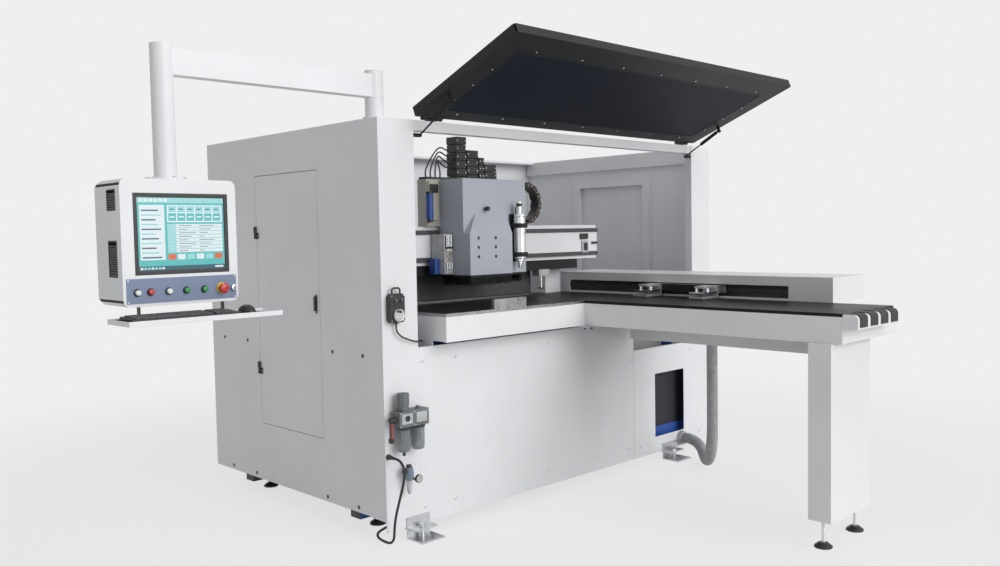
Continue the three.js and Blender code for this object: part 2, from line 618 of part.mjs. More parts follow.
// Apron and side skirt of the tables with the end box, corner fold, under beam and its block
function tableSkirt() {
  const z = [table.skirtBottom, tableUnder - gap];
  const [x0, x1, x2] = [table.left, infeed.left, infeed.right];
  const [y0, y1, y2] = [-gap, table.apronAt, infeed.end];
  const walls = prism([
    [x0, y0], [x0, y1], [x1, y1], [x1, y2], [x2, y2], [x2, y0], [x2 - sheet, y0], [x2 - sheet, y2 + sheet],
    [x1 + sheet, y2 + sheet], [x1 + sheet, y1 + sheet], [x0 + sheet, y1 + sheet], [x0 + sheet, y0],
  ], 'z', z[0] + sheet, z[1]);
  const folds = prism([[x0, y1], [x1, y1], [x1, y2], [x1 + foldedEdge, y2],
    [x1 + foldedEdge, y1 + foldedEdge], [x0, y1 + foldedEdge]],
    'z', ...range(z[0], sheet));
  const webs = webPlaces().map((y) => block([x1 + sheet / 2, x2 - sheet / 2], [y, y + table.rib],
    grown(z, -sheet / 2)));
  const noseJoint = block([x1 + sheet, infeed.noseRight - sheet], [y2 - sheet / 2, y2 + sheet / 2],
    [infeed.noseBottom + sheet, z[1] - sheet]);
  const noseBox = cut(
    prism(noseOutline(0), 'x', infeed.left, infeed.noseRight),
    block([infeed.left + strip.first, infeed.noseRight - strip.first],
      [infeed.end - infeed.noseDepth + foldedEdge, infeed.end - sheet],
      [infeed.noseBottom - overrun, table.top - infeed.corner - sheet]),
  );
  const beamTube = block([underBeam.left, underBeam.right], [underBeam.front, underBeam.rear],
    [underBeam.bottom, underBeam.bottom + underBeam.height]);
  const hangers = webPlaces().map((y) => block([underBeam.left + sheet, underBeam.right - sheet],
    [y + sheet / 2, y + foldedEdge], [underBeam.bottom + sheet, z[0] + foldedEdge]));
  const beamSeat = block([beam.left, x2 - sheet / 2], [y2 + foldedEdge, y1 - foldedEdge],
    [z[1] - sheet, table.top]);
  const legBlock = block([underBlock.left, underBeam.right - sheet],
    [underBlock.front + sheet, underBlock.rear], [underBlock.bottom, z[0] - gap]);
  return join(walls, folds, webs, noseBox, noseJoint, beamTube, hangers, beamSeat, legBlock);
}

function webPlaces() {
  return webShares.map((share) => share * infeed.end);
}

// Side outline of the rounded table end, drawn as y,z; proud moves it outwards
function noseOutline(proud, back = infeed.end - gap) {
  const front = infeed.end - infeed.noseDepth - proud;
  const top = table.top - strip.proud - 2 * gap + proud;
  const arc = Array.from({ length: 6 }, (_, i) => {
    const angle = quarter * (1 + i / 5);
    return [front + infeed.corner * (1 + Math.cos(angle)), top - infeed.corner * (1 - Math.sin(angle))];
  });
  return [[back, infeed.noseBottom], [back, top], ...arc, [front, infeed.noseBottom]];
}

// Black tops: the in-feed plate and the rubber strips wrapped over its rounded end
function infeedTop() {
  const plate = block([infeed.left, beam.left - gap], [infeed.end, table.apronAt - gap],
    [tableUnder, table.top]);
  const stripBack = infeed.end + foldedEdge;
  const wraps = Array.from({ length: strip.count }, (_, i) => {
    const x0 = infeed.left + strip.first + strip.pitch * i;
    const outer = prism(noseOutline(strip.proud + gap, stripBack), 'x', x0, x0 + strip.width);
    const innerCut = prism(noseOutline(gap), 'x', x0 - overrun, x0 + strip.width + overrun);
    const below = block([x0 - overrun, x0 + strip.width + overrun],
      grown([infeed.end - infeed.noseDepth, infeed.end], overrun),
      [infeed.noseBottom - overrun, strip.bottom]);
    const behind = block([x0 - overrun, x0 + strip.width + overrun],
      [infeed.end - overrun, stripBack + overrun],
      [infeed.noseBottom - overrun, table.top - strip.proud]);
    return cut(outer, innerCut, below, behind);
  });
  return join(plate, wraps);
}

// Black work table with ribs below, the slot for the lower drills and the front stop block
function mainTable() {
  const right = beam.left - gap;
  const plate = cut(
    block([table.left, right], [table.apronAt, table.back], [tableUnder, table.top]),
    block([slot.left, slot.right], around(slot.at, slot.width / 2),
      [tableUnder - overrun, table.top + overrun]),
    [gantryPost.leftAt, gantryPost.rightAt].map((x) => block(grown([x, x + gantryPost.width], gap),
      grown(postY(), gap), [tableUnder - overrun, table.top + overrun])),
  );
  const ribZ = [base.top + gap, tableUnder];
  const ribs = [base.frontAt + base.tube / 2,
    base.rearAt - 2 * base.tube].map((y) => block([table.left, right], around(y, table.rib / 2), ribZ));
  const rightX = right - foldedEdge;
  const cross = [table.left + foldedEdge, (table.left + right) / 2,
    rightX].map((x) => block(around(x, table.rib / 2),
    [base.frontAt + base.tube / 2, base.rearAt - 2 * base.tube], ribZ));
  const crossCut = block(around((table.left + right) / 2, table.rib), around(slot.at, slot.width),
    grown(ribZ, overrun));
  const stop = block([stopBlock.left, stopBlock.right], [table.apronAt, table.apronAt + stopBlock.depth],
    [table.top - table.plate / 2, table.top + stopBlock.height]);
  return join(plate, ribs, cut(join(cross), crossCut), stop);
}

// Folded sheet leg under the end of the in-feed table, open at its back
function tableLeg() {
  const z = [leg.bottom, leg.top - gap];
  const shell = cut(
    block([leg.left, leg.right], [leg.front, leg.rear], z),
    block(grown([leg.left, leg.right], -sheet), [leg.front + sheet, leg.rear + overrun],
      [leg.bottom + sheet, leg.top - sheet]),
  );
  return join(shell, legFeet());
}

// Long sheet cover of the gripper beam, with the slot that the carriage runs in
function gripperCover() {
  const x = [beam.left, beam.right];
  const z = [table.top + gap, beam.top];
  const shell = cut(
    block(x, [beam.front, beam.back], z),
    block(grown(x, -beam.skin), [beam.front + beam.skin, beam.back + overrun],
      [z[0] + beam.skin, z[1] - beam.skin]),
    block([x[0] - overrun, x[0] + beam.skin + overrun], [beamSlot.front, beamSlot.back],
      [beamSlot.bottom, beamSlot.top]),
  );
  return shell;
}

const railX = [beam.left + gripRail.backing + gripRail.height,
  beam.left + gripRail.backing + gripRail.height + sheet * 2];

// Backing bar and linear rail inside the gripper beam
function gripperRail() {
  const y = [beam.front + beam.skin + gap + foldedEdge, beam.back - foldedEdge];
  const z = [table.top + gap + beam.skin / 2, beam.top - beam.skin / 2];
  const middle = (beamSlot.bottom + beamSlot.top) / 2;
  const backing = block(railX, y, z);
  const rail = block([railX[0] - gripRail.height, railX[0]], y, around(middle, gripRail.width / 2));
  return join(backing, rail);
}

// Gripper carriage: runner blocks on the rail, a bar outside the slot and the jaw bodies
function gripperCarriage() {
  const middle = (beamSlot.bottom + beamSlot.top) / 2;
  const places = Object.values(jawPlaces);
  const runners = places.map((y) => cut(
    block([railX[0] - gripRail.height - jaw.thickness, railX[0] - gap], around(y, jaw.width / 2),
      around(middle, gripRail.width)),
    block([railX[0] - gripRail.height - gap, railX[0] + overrun], around(y, jaw.width),
      around(middle, gripRail.width / 2 + gap)),
  ));
  const necks = places.map((y) =>
    block([beam.left - carriage.thickness - gap, railX[0] - gripRail.height - gap],
      around(y, jaw.width / 3),
    around(middle, gripRail.width / 2)));
  const outerX = [beam.left - carriage.thickness - gap, beam.left - gap - sheet];
  const rail = block(outerX, [jawPlaces.front - jaw.width / 2, jawPlaces.rear + jaw.width / 2],
    [carriage.top - carriage.height, carriage.top]);
  const lowers = places.map((y) => block([outerX[0] - jaw.length, outerX[0]], around(y, jaw.width / 2),
    [table.top + sheet, table.top + sheet + jaw.thickness]));
  const links = places.map((y) => block([outerX[0] - jaw.thickness, outerX[0]], around(y, jaw.width / 2),
    [table.top + sheet, carriage.top]));
  const arms = places.map((y) => block([outerX[0] - jaw.length * 0.8, outerX[0]], around(y, jaw.width / 3),
    [carriage.top - jaw.thickness, carriage.top]));
  return join(runners, necks, rail, lowers, links, arms);
}

// Upper jaw: a pad on two bright cylinders
function gripperJaw(y) {
  const x1 = beam.left - carriage.thickness - gap - jaw.thickness - sheet;
  const bottom = table.top + sheet + jaw.thickness + jaw.lift;
  const pad = block([x1 - jaw.length * 0.9, x1], around(y, jaw.width / 2), [bottom, bottom + jaw.opening]);
  const top = carriage.top - jaw.thickness - gap;
  const posts = [-1, 1].map((side) => bar('z', jaw.cylinder, bottom, top,
    [x1 - jaw.length / 2, y + side * jaw.apart * 0.75], smallSides));
  return join(pad, posts);
}

// Gantry beam: a box section with end plate and its two dark rails
function gantryBeam() {
  const x = [gantry.left, gantry.right];
  const y = [gantry.front + gantryRail.depth, gantry.front + gantry.depth];
  const body = cut(
    block(x, y, [gantry.bottom, gantry.top]),
    block([gantry.left - overrun, gantry.right - gantry.skin], grown(y, -gantry.skin),
      grown([gantry.bottom, gantry.top], -gantry.skin)),
  );
  const face = block([gantry.left, gantry.right], [gantry.front + gantryRail.depth / 2, y[0]],
    grown([gantry.bottom, gantry.top], -gantryRail.inset - gantryRail.height));
  const rails = [gantry.bottom + gantryRail.inset,
    gantry.top - gantryRail.inset - gantryRail.height].map((z) => block(x,
    [gantry.front, y[0]], [z, z + gantryRail.height]));
  const channel = block([gantry.left, gantryChannel.right], [gantryChannel.front, gantryChannel.back],
    [gantryChannel.bottom, gantry.bottom + sheet]);
  return join(body, face, rails, channel);
}

// Saddle that rides on the rails and carries everything of the head
function headSaddle() {
  const y = [gantry.front - gap - saddle.thickness, gantry.front - gap];
  const x = [saddle.left, saddle.right];
  const plate = block(x, y, [gantry.bottom - saddle.reach / 2, gantry.top + saddle.reach]);
  const ledge = block(x, [y[0], gantry.front + gantry.depth / 2],
    [gantry.top + gap, gantry.top + gap + saddle.thickness]);
  const drive = block([x[0] - sideUnit.motorReach, x[0] + 2 * saddle.reach],
    [y[0] + sheet, gantry.front + gantry.depth / 2],
    [gantry.top + gap, sideUnit.motorTop]);
  const unitX = [x[0] - sideUnit.width, x[0] - gap];
  const unit = block(unitX, [sideUnit.front, y[0] + sheet], [sideUnit.bottom, sideUnit.top]);
  const carrier = block([unitX[0] + sheet, x[0] + foldedEdge], [y[0] + sheet / 2, y[1]],
    [gantry.bottom, sideUnit.top - sheet]);
  return join(plate, ledge, drive, unit, carrier);
}

// Folded head cover with the sloped shoulder, its six holes and the bracket of the router
function headCover() {
  const back = gantry.front - gap - saddle.thickness - gap;
  const outer = (inset) => join(
    block([head.left + inset, head.right - inset], [head.front + inset, back + (inset ? overrun : 0)],
      [head.bottom - (inset ? overrun : 0), head.top - inset]),
    convex([
      ...corners([head.left + inset, nose.right - inset], [nose.front + inset, head.front + head.skin * 2],
        head.bottom - (inset ? overrun : 0)),
      ...corners([head.left + inset, nose.right - inset], [nose.front + inset, head.front + head.skin * 2],
        nose.shoulder - inset),
      ...corners([head.left + nose.taper, nose.right - inset], [head.front, head.front + head.skin * 2],
        nose.shoulderTop - inset),
    ]),
  );
  const holes = [];
  for (let c = 0; c < noseHoles.columns; c += 1) {
    for (let r = 0; r < noseHoles.rows; r += 1) {
      holes.push(bar('y', nose.holeRadius, nose.front - overrun, nose.front + head.skin + overrun,
        [noseHoles.top - r * noseHoles.drop, head.left + noseHoles.first + c * noseHoles.pitch],
          smallSides));
    }
  }
  return cut(outer(0), outer(head.skin), holes);
}

// Drill block inside the cover, with a bore for each spindle
function drillBlock() {
  const body = block([drills.left, drills.right], [drills.front, drills.back], [drills.bottom, drills.top]);
  const slide = block([drills.left + foldedEdge, drills.right - foldedEdge],
    [drills.back, gantry.front - 2 * gap - saddle.thickness],
    [drills.slideBottom, drills.slideTop]);
  const bores = spindlePlaces().map(([x, y]) =>
    bar('z', drills.bore, drills.bottom - overrun, drills.bottom + bit.length, [x, y], smallSides));
  return cut(join(body, slide), bores);
}

function spindlePlaces() {
  const y = (drills.front + drills.back) / 2;
  return [[drills.left + bit.inset, y], [drills.left + bit.inset + bit.apart, y]];
}

// One drill spindle with its collar and bit
function drillSpindle([x, y]) {
  const top = drills.bottom + bit.length - gap;
  const collarTop = drills.bottom - gap;
  const collarBottom = collarTop - bit.collarHeight;
  const tipStart = collarBottom - bit.length / 2;
  return turned([[0, tipStart - bit.shank], [bit.tip, tipStart - bit.shank / 2], [bit.shank, tipStart],
    [bit.shank, collarBottom],
    [bit.collar, collarBottom], [bit.collar, collarTop], [bit.chuck, collarTop], [bit.chuck, top],
      [0, top]], [x, y], smallSides);
}

// Router spindle: silver body, neck, clamps and the slide that holds it beside the nose
function routerMotor() {
  const at = [router.x, router.y];
  const body = turned([[0, router.bottom], [router.radius * 0.8, router.bottom],
    [router.radius, router.bottom + router.clamp],
    [router.radius, router.top - router.clamp], [router.radius * 0.7, router.top],
      [router.neck, router.top],
    [router.neck, router.neckTop], [0, router.neckTop]], at);
  const reachY = [router.y, head.front - gap];
  const clamps = [router.bottom + router.clampHeight, router.top - 3 * router.clampHeight].map((z) => join(
    bar('z', router.radius + router.clamp, z, z + router.clampHeight, at),
    block(around(router.x, router.radius), reachY, [z, z + router.clampHeight]),
  ));
  const slide = block(around(router.x, router.radius), [head.front - gap - router.clamp, head.front - gap],
    [router.bottom, router.top]);
  const bore = bar('z', collet.shank + drills.running, router.bottom - overrun,
    router.bottom + collet.reach, at, smallSides);
  return cut(join(body, clamps, slide), bore);
}

function routerCollet() {
  const top = router.bottom - gap;
  const bottom = top - collet.height;
  return turned([[0, bottom - collet.height / 2], [collet.shank / 2, bottom - collet.height / 2],
    [collet.shank / 2, bottom],
    [collet.radius * 0.7, bottom], [collet.radius, bottom + collet.height / 2], [collet.radius, top],
      [collet.shank, top],
    [collet.shank, top + collet.reach - gap], [0, top + collet.reach - gap]], [router.x, router.y],
      smallSides);
}

// Bristle skirt under the head cover: a thin backing frame with rows of strands
function brushSkirt() {
  const top = head.bottom - gap;
  const z = [top - brush.backing, top];
  const back = gantry.front - 2 * gap - saddle.thickness;
  const frame = (inset) => join(
    block([head.left + inset, head.right - inset], [head.front + inset, back - inset],
      inset ? grown(z, overrun) : z),
    block([head.left + inset, nose.right - inset],
      [nose.front + inset, head.front + brush.inset + 2 * inset], inset ? grown(z, overrun) : z),
  );
  const rim = brush.rows * brush.rowPitch + brush.inset;
  const backing = cut(frame(0), frame(rim));
  const strands = [];
  const addRow = (from, to) => {
    const length = Math.hypot(to[0] - from[0], to[1] - from[1]);
    const count = Math.round(length / brush.pitch);
    for (let i = 0; i <= count; i += 1) {
      const x = from[0] + ((to[0] - from[0]) * i) / count;
      const y = from[1] + ((to[1] - from[1]) * i) / count;
      const fall = brush.height * (1 - 0.04 * (i % 3));
      strands.push(bar('z', brush.strand * 0.6, z[0] - fall + brush.backing, z[0] + brush.inset / 2, [x, y],
        3, brush.strand));
    }
  };
  for (let row = 0; row < brush.rows; row += 1) {
    const in1 = brush.inset + row * brush.rowPitch;
    const shift = (row % 2) * brush.pitch * 0.5;
    addRow([head.left + in1 + shift, nose.front + in1], [nose.right - in1 - shift, nose.front + in1]);
    addRow([head.left + in1, head.front + in1 + shift], [head.left + in1, back - in1]);
    addRow([head.right - in1, head.front + 3 * brush.rowPitch + shift], [head.right - in1, back - in1]);
  }
  return join(backing, strands);
}

// Drag chains of the head: a half loop of separate links, and the stepped chain tower
function chainLoop() {
  const outer = chain.radius;
  const inner = chain.radius - chain.link;
  const y = around(chain.y, chain.width / 2);
  const ringPart = (angle0, angle1) => {
    const steps = 3;
    const arcAt = (r, list) => list.map((a) => [chain.z + r * Math.sin(a), chain.x + r * Math.cos(a)]);
    const angles = Array.from({ length: steps + 1 }, (_, i) => angle0 + ((angle1 - angle0) * i) / steps);
    return [...arcAt(outer, angles), ...arcAt(inner, [...angles].reverse())];
  };
  const links = [];
  const step = (2 * quarter) / chain.links;
  for (let i = 0; i < chain.links; i += 1) {
    const start = -quarter + step * i;
    const wide = i % 2 ? y : grown(y, -chain.bore);
    const outline = ringPart(start - step * 0.04, start + step * 1.04).reverse();
    links.push(cut(prism(outline, 'y', ...wide)));
  }
  const back = block([head.right + gap, chain.x], y, [chain.z - outer, chain.z - inner]);
  const topRun = block([head.right + gap, chain.x], y, [chain.z + inner, chain.z + outer]);
  return join(links, back, topRun);
}

function chainTower() {
  const y = [tower.front, tower.back];
  const bottom = gantry.top + gap + saddle.thickness + gap;
  const steps = towerSteps.map(([reach, rise]) =>
    block([tower.left, tower.left + reach], y, [bottom, bottom + rise]));
  return join(steps);
}

// Lower drill unit under the slot
function lowerDrillUnit() {
  const top = tableUnder - sheet;
  const x = around(lowerDrill.at, lowerDrill.width / 2);
  const body = block(x, around(slot.at, lowerDrill.depth / 2), [base.top + gap, top]);
  const pitch = lowerDrill.width / lowerDrill.bits;
  const bits = Array.from({ length: lowerDrill.bits },
    (_, i) => bar('z', lowerDrill.bit, top - sheet, table.top - lowerDrill.rise,
    [x[0] + pitch * (i + 0.5), slot.at], smallSides, lowerDrill.bit / 2));
  return join(body, bits);
}

function presserUnit() {
  const top = gantryChannel.bottom + sheet;
  const x = around(presser.at, presser.width / 2);
  const y = [gantry.front + gantryRail.depth, gantry.front + gantryRail.depth + presser.depth];
  const at = [presser.at, y[0] + presser.depth / 2];
  const body = block(x, y, [top - presser.height, top]);
  const rod = bar('z', presser.rod, top - presser.height - presser.rodLength, top - presser.height, at,
    smallSides);
  const pad = bar('z', presser.pad, top - presser.height - presser.rodLength - presser.padHeight,
    top - presser.height - presser.rodLength, at, smallSides);
  return join(body, rod, pad);
}

// Hood frame: a shallow pan with a wide border, drawn flat with its hinge line at the origin
function hoodFrame() {
  const half = (hood.right - hood.left) / 2;
  const slab = prism(roundedOutline(-half, half, -hood.length, -hood.start, hood.corner), 'z', 0,
    hood.thickness);
  const hollow = block(grown([-half, half], -hood.skin), grown([-hood.length, -hood.start], -hood.skin),
    grown([0, hood.thickness], -hood.skin));
  const pocket = block([-half + hood.border, half - hood.border],
    [-hood.length + hood.border, -hood.rearBorder], [-overrun, hood.skin + overrun]);
  const centre = (hood.left + hood.right) / 2;
  const knuckles = hoodHingePlaces().flatMap((place) => {
    const x = place - centre;
    return [-1, 1].flatMap((side) => {
      const width = range(x + side * (hoodHinge.inner / 2), side * hoodHinge.outer);
      return [
        bar('x', hoodHinge.barrel, ...width, [0, 0], smallSides),
        block(width, [-hoodHinge.reach, 0], [-hoodHinge.leaf, sheet / 2]),
      ];
    });
  });
  const brackets = [strut.leftAt, strut.rightAt].map((place, i) => {
    const side = i ? 1 : -1;
    const start = place - centre + side * (strut.cylinder + gap);
    const y = around(-strut.along, strut.eye);
    return block(range(start, side * strut.plate), y, [-strut.below - strut.eye, hood.skin]);
  });
  return join(cut(slab, hollow, pocket), knuckles, brackets);
}

// Navy lining sheet inside the hood border
function hoodLining() {
  const half = (hood.right - hood.left) / 2 - hood.border - gap;
  const y = [-hood.length + hood.border + gap, -hood.rearBorder - gap];
  const z = [0, hood.skin];
  const plate = block([-half, half], y, z);
  const stiffeners = [-half / 2, 0, half / 2].map((x) => block(around(x, foldedEdge), grown(y, -foldedEdge),
    [z[1], hood.thickness - hood.skin - gap]));
  return join(plate, stiffeners);
}

const hoodTilt = (-hood.openAngle * quarter) / 90;
const hoodCentre = [(hood.left + hood.right) / 2, hood.axisY, hood.axisZ];
const strutTop = {
  y: hood.axisY - strut.along * Math.cos(hoodTilt) - strut.below * Math.sin(-hoodTilt),
  z: hood.axisZ + strut.along * Math.sin(-hoodTilt) - strut.below * Math.cos(hoodTilt),
};
const strutRise = { y: strutTop.y - strutPivot.y, z: strutTop.z - strutPivot.z };
const strutLength = Math.hypot(strutRise.y, strutRise.z);
const strutTilt = Math.atan2(-strutRise.y, strutRise.z);
const strutClosed = Math.hypot(strut.along, strut.below) - Math.hypot(strut.setback, strut.drop);

// Strut rod with its lower eye on the bracket pin, drawn upright with the pivot at the origin
function strutRod() {
  const eye = bar('x', strut.eye, -strut.eyeWidth / 2, strut.eyeWidth / 2, [0, 0], smallSides);
  const rod = bar('z', strut.rod, strut.pin, strutClosed - strut.tipClear, [0, 0], smallSides);
  const hole = bar('x', strut.pin + strut.pinRunning, -overrun, overrun, [0, 0], smallSides);
  return cut(join(eye, rod), hole);
}

// Strut cylinder with its upper eye, bored for the rod
function strutCylinder() {
  const mouth = strutLength - strut.cylinderLength;
  const shell = join(bar('z', strut.cylinder, mouth, strutLength - strut.neck, [0, 0], smallSides),
    bar('z', strut.rod, strutLength - strut.neck - sheet, strutLength, [0, 0], smallSides));
  const eye = bar('x', strut.eye, -strut.eyeWidth / 2, strut.eyeWidth / 2, [0, strutLength], smallSides);
  const travel = strutLength - strutClosed;
  const bore = bar('z', strut.rod + strut.boreRunning, mouth - overrun,
    strutClosed - strut.tipClear + travel + gap, [0, 0], smallSides);
  return cut(join(shell, eye), bore);
}

// Boom post welded on the cabinet roof
function boomPost() {
  const z0 = machine.height - sheet / 2;
  const post = bar('z', boom.radius, z0, boom.fixedTop - gap, [boom.postX, boom.postY]);
  const collar = bar('z', boom.radius + flange.thickness, z0, machine.height + flange.thickness,
    [boom.postX, boom.postY]);
  return join(post, collar);
}

const tubeX = boom.postX - boom.reach;

// Boom arm: swivel sleeve, square arm and the hanging tube
function boomArm() {
  const sleeve = bar('z', boom.radius, boom.fixedTop, boom.sleeveTop, [boom.postX, boom.postY]);
  const beamArm = block([tubeX, boom.postX], around(boom.postY, arm.width / 2), [arm.bottom, arm.top]);
  const low = box.top + flange.thickness + gap;
  const tubeBody = bar('z', boom.radius, low, boom.sleeveTop - boom.cap, [tubeX, boom.postY]);
  const bore = boom.radius - boom.wall;
  const hollow = join(
    bar('z', bore, low - overrun, boom.sleeveTop - boom.cap - boom.wall, [tubeX, boom.postY]),
    bar('z', bore, boom.fixedTop - overrun, boom.sleeveTop - boom.wall, [boom.postX, boom.postY]),
    block([tubeX, boom.postX], around(boom.postY, arm.width / 2 - boom.wall),
      grown([arm.bottom, arm.top], -boom.wall)),
  );
  return cut(join(sleeve, beamArm, tubeBody), hollow);
}

const boxLeft = tubeX - box.width / 2;
const boxFront = boom.postY - box.depth / 2;

// Control box: rounded sheet case with screen recess, strip panel, bores and side vents
function controlBox() {
  const y = [boxFront, boxFront + box.depth];
  const z = [box.bottom, box.top];
  const outline = [
    [y[0], z[0]], [y[1] - box.slant, z[0]], [y[1], z[0] + box.slant], [y[1], z[1] - box.slant],
      [y[1] - box.slant, z[1]], [y[0], z[1]],
  ];
  const body = prism(outline, 'x', boxLeft, boxLeft + box.width);
  const rounded = prism(roundedOutline(z[0], z[1], boxLeft, boxLeft + box.width, box.corner), 'y',
    y[0] - overrun, y[1] + overrun);
  const recess = block([boxLeft + bezel.left, boxLeft + bezel.right], [y[0] - overrun, y[0] + bezel.depth],
    [z[0] + bezel.bottom, z[0] + bezel.top]);
  const stripPlate = block([boxLeft + strip2.left, boxLeft + strip2.right],
    [y[0] - strip2.proud, y[0] + strip2.proud], [z[0] + strip2.bottom, z[0] + strip2.top]);
  const collar = bar('z', flange.radius, z[1], z[1] + flange.thickness, [tubeX, boom.postY]);
  const vents = ventShares.map(([low, high]) => block([boxLeft - overrun, boxLeft + box.skin + overrun],
    [y[0] + vent.front, y[0] + vent.front + vent.width],
      [low, high].map((share) => z[0] + (z[1] - z[0]) * share)));
  const bores = [...buttonPlaces(), stopButton.at,
    key.at].map((x) => bar('y', button.stem + (x === key.at ? key : button).running,
    y[0] - overrun, y[0] + button.stemLength + button.travel * 2, [z[0] + button.z, boxLeft + x],
      smallSides));
  const hollowY = [y[0] + bezel.depth + box.skin, y[1] - box.skin];
  const hollow = [
    block([boxLeft + box.skin, boxLeft + box.width - box.skin], hollowY, grown(z, -box.slant)),
    block([boxLeft + box.corner, boxLeft + box.width - box.corner], [hollowY[0], y[1] - box.slant],
      grown(z, -box.skin)),
  ];
  const wires = [bezel.left + foldedEdge, bezel.right - foldedEdge].map((x) =>
    block(around(boxLeft + x, sheet), [y[0] + foldedEdge, y[0] + 2 * foldedEdge],
    [tray.bottom + tray.thickness + gap, z[0] + sheet]));
  return cut(join(body.intersect(rounded), stripPlate, collar, wires), recess, join(hollow), vents, bores);
}

function buttonPlaces() {
  return buttonShares.map((share) => share * box.width);
}

function screenPanel() {
  const y = [boxFront + gap, boxFront + bezel.depth - gap];
  const x = grown([boxLeft + bezel.left, boxLeft + bezel.right], -gap);
  const z = grown([box.bottom + bezel.bottom, box.bottom + bezel.top], -gap);
  return cut(block(x, y, z), block(grown(x, -bezel.rim), [y[0] - overrun, y[0] + sheet],
    grown(z, -bezel.rim)));
}

// A push button: cap, and the stem that runs in its bore
function pushButton(x, capRadius, capHeight) {
  const face = boxFront - strip2.proud - button.travel;
  const at = [box.bottom + button.z, boxLeft + x];
  return join(
    bar('y', capRadius, face - capHeight, face, at),
    bar('y', button.stem, face, boxFront + button.stemLength, at, smallSides),
  );
}

function emergencyStop() {
  const face = boxFront - strip2.proud - stopButton.travel;
  const at = [box.bottom + button.z, boxLeft + stopButton.at];
  return join(
    bar('y', stopButton.radius, face - stopButton.height, face - stopButton.height / 2, at),
    bar('y', stopButton.neck, face - stopButton.height, face, at),
    bar('y', button.stem, face, boxFront + button.stemLength, at, smallSides),
  );
}

function keySwitch() {
  const face = boxFront - strip2.proud - gap;
  const at = [box.bottom + button.z, boxLeft + key.at];
  return join(
    bar('y', key.radius, face - key.height, face, at),
    block(around(at[1], key.grip / 2), [face - key.height - key.gripHeight, face - key.height],
      around(at[0], key.radius)),
    bar('y', button.stem, face, boxFront + button.stemLength, at, smallSides),
  );
}

// Keyboard tray with a raised lip
function keyboardTray() {
  const x = [boxLeft + tray.left, boxLeft + tray.right];
  const y = [boxFront + tray.front, boxFront + tray.back + 2 * foldedEdge];
  const z = [tray.bottom, tray.bottom + tray.thickness];
  return cut(block(x, y, z), block(grown(x, -sheet), grown([y[0], boxFront + tray.back], -sheet),
    [z[1] - tray.lip, z[1] + overrun]));
}

// Keyboard with rows of keys, and the mouse beside it
function keyboardAndMouse() {
  const z = tray.bottom + tray.thickness - tray.lip + gap;
  const x0 = boxLeft + tray.left + keyboard.left;
  const y0 = boxFront + tray.front + sheet * 3;
  const slab = prism([[y0, z], [y0 + keyboard.depth, z], [y0 + keyboard.depth, z + keyboard.height],
    [y0, z + keyboard.height * 0.7]], 'x', x0, x0 + keyboard.width);
  const pitchX = keyboard.width / keyboard.keyColumns;
  const pitchY = keyboard.depth / keyboard.keyRows;
  const keys = [];
  for (let r = 0; r < keyboard.keyRows; r += 1) {
    const y = y0 + pitchY * r;
    const low = z + keyboard.height * 0.6;
    keys.push(block([x0 + pitchX * 0.3, x0 + keyboard.width - pitchX * 0.3],
      [y + pitchY * 0.12, y + pitchY * 0.88],
      [low, z + keyboard.height * (0.7 + 0.3 * ((r + 0.5) / keyboard.keyRows)) + keyboard.keyRise]));
  }
  const mouseShape = new THREE.SphereGeometry(1, smallSides, smallSides / 2);
  mouseShape.scale(mouse.width / 2, mouse.length / 2, mouse.height);
  mouseShape.translate(boxLeft + tray.left + mouse.left,
    boxFront + tray.front + mouse.length / 2 + sheet * 5, z);
  const half = solid(mouseShape).intersect(block([boxLeft, boxLeft + tray.right],
    [boxFront + tray.front, boxFront + tray.back], [z, z + 2 * mouse.height]));
  const lead = block([x0 + keyboard.width - sheet, boxLeft + tray.left + mouse.left + mouse.width / 4],
    [y0 + keyboard.depth * 0.7, y0 + keyboard.depth * 0.7 + sheet], [z, z + sheet]);
  return join(slab, keys, half, lead);
}

// Hand pendant hung on the column: body, handle bar and two selector knobs
function pendantBody() {
  const x = [pendant.left, pendant.left + pendant.width];
  const z = [pendant.bottom, pendant.top];
  const y = [-gap - pendant.standoff - pendant.depth, -gap - pendant.standoff];
  const body = prism(roundedOutline(z[0], z[1], ...x, pendant.corner, 3), 'y', ...y);
  const handleOuter = block(grown(x, -pendant.corner), [y[0] + pendant.bar, y[0] + 2 * pendant.bar],
    [z[1] - pendant.bar, z[1] + pendant.handle]);
  const handleInner = block(grown(x, -pendant.corner - pendant.bar), grown(y, overrun),
    [z[1], z[1] + pendant.handle - pendant.bar]);
  const hanger = block(grown(x, -2 * pendant.corner), [y[1], -gap],
    [z[1] - 2 * foldedEdge, z[1] - foldedEdge]);
  const centre = (x[0] + x[1]) / 2;
  const knobs = [-1, 1].map((side) => bar('y', dial.knob, y[0] - dial.knobHeight, y[0],
    [z[0] + dial.knobRise, centre + side * dial.knobApart / 2], smallSides));
  const recess = bar('y', dial.knob, y[0] - overrun, y[0] + dial.height, [z[0] + dial.rise, centre],
    smallSides);
  return cut(join(body, cut(handleOuter, handleInner), hanger, knobs), recess);
}

function pendantDial() {
  const face = -gap - pendant.standoff - pendant.depth - gap;
  const at = [pendant.bottom + dial.rise, pendant.left + pendant.width / 2];
  const grip = dial.radius * 0.55;
  return join(
    bar('y', dial.radius, face - dial.height, face, at),
    bar('y', dial.stem, face, face + dial.height, at, smallSides),
    bar('y', overrun, face - 2 * dial.height, face - dial.height, [at[0] + grip, at[1]], smallSides),
  );
}

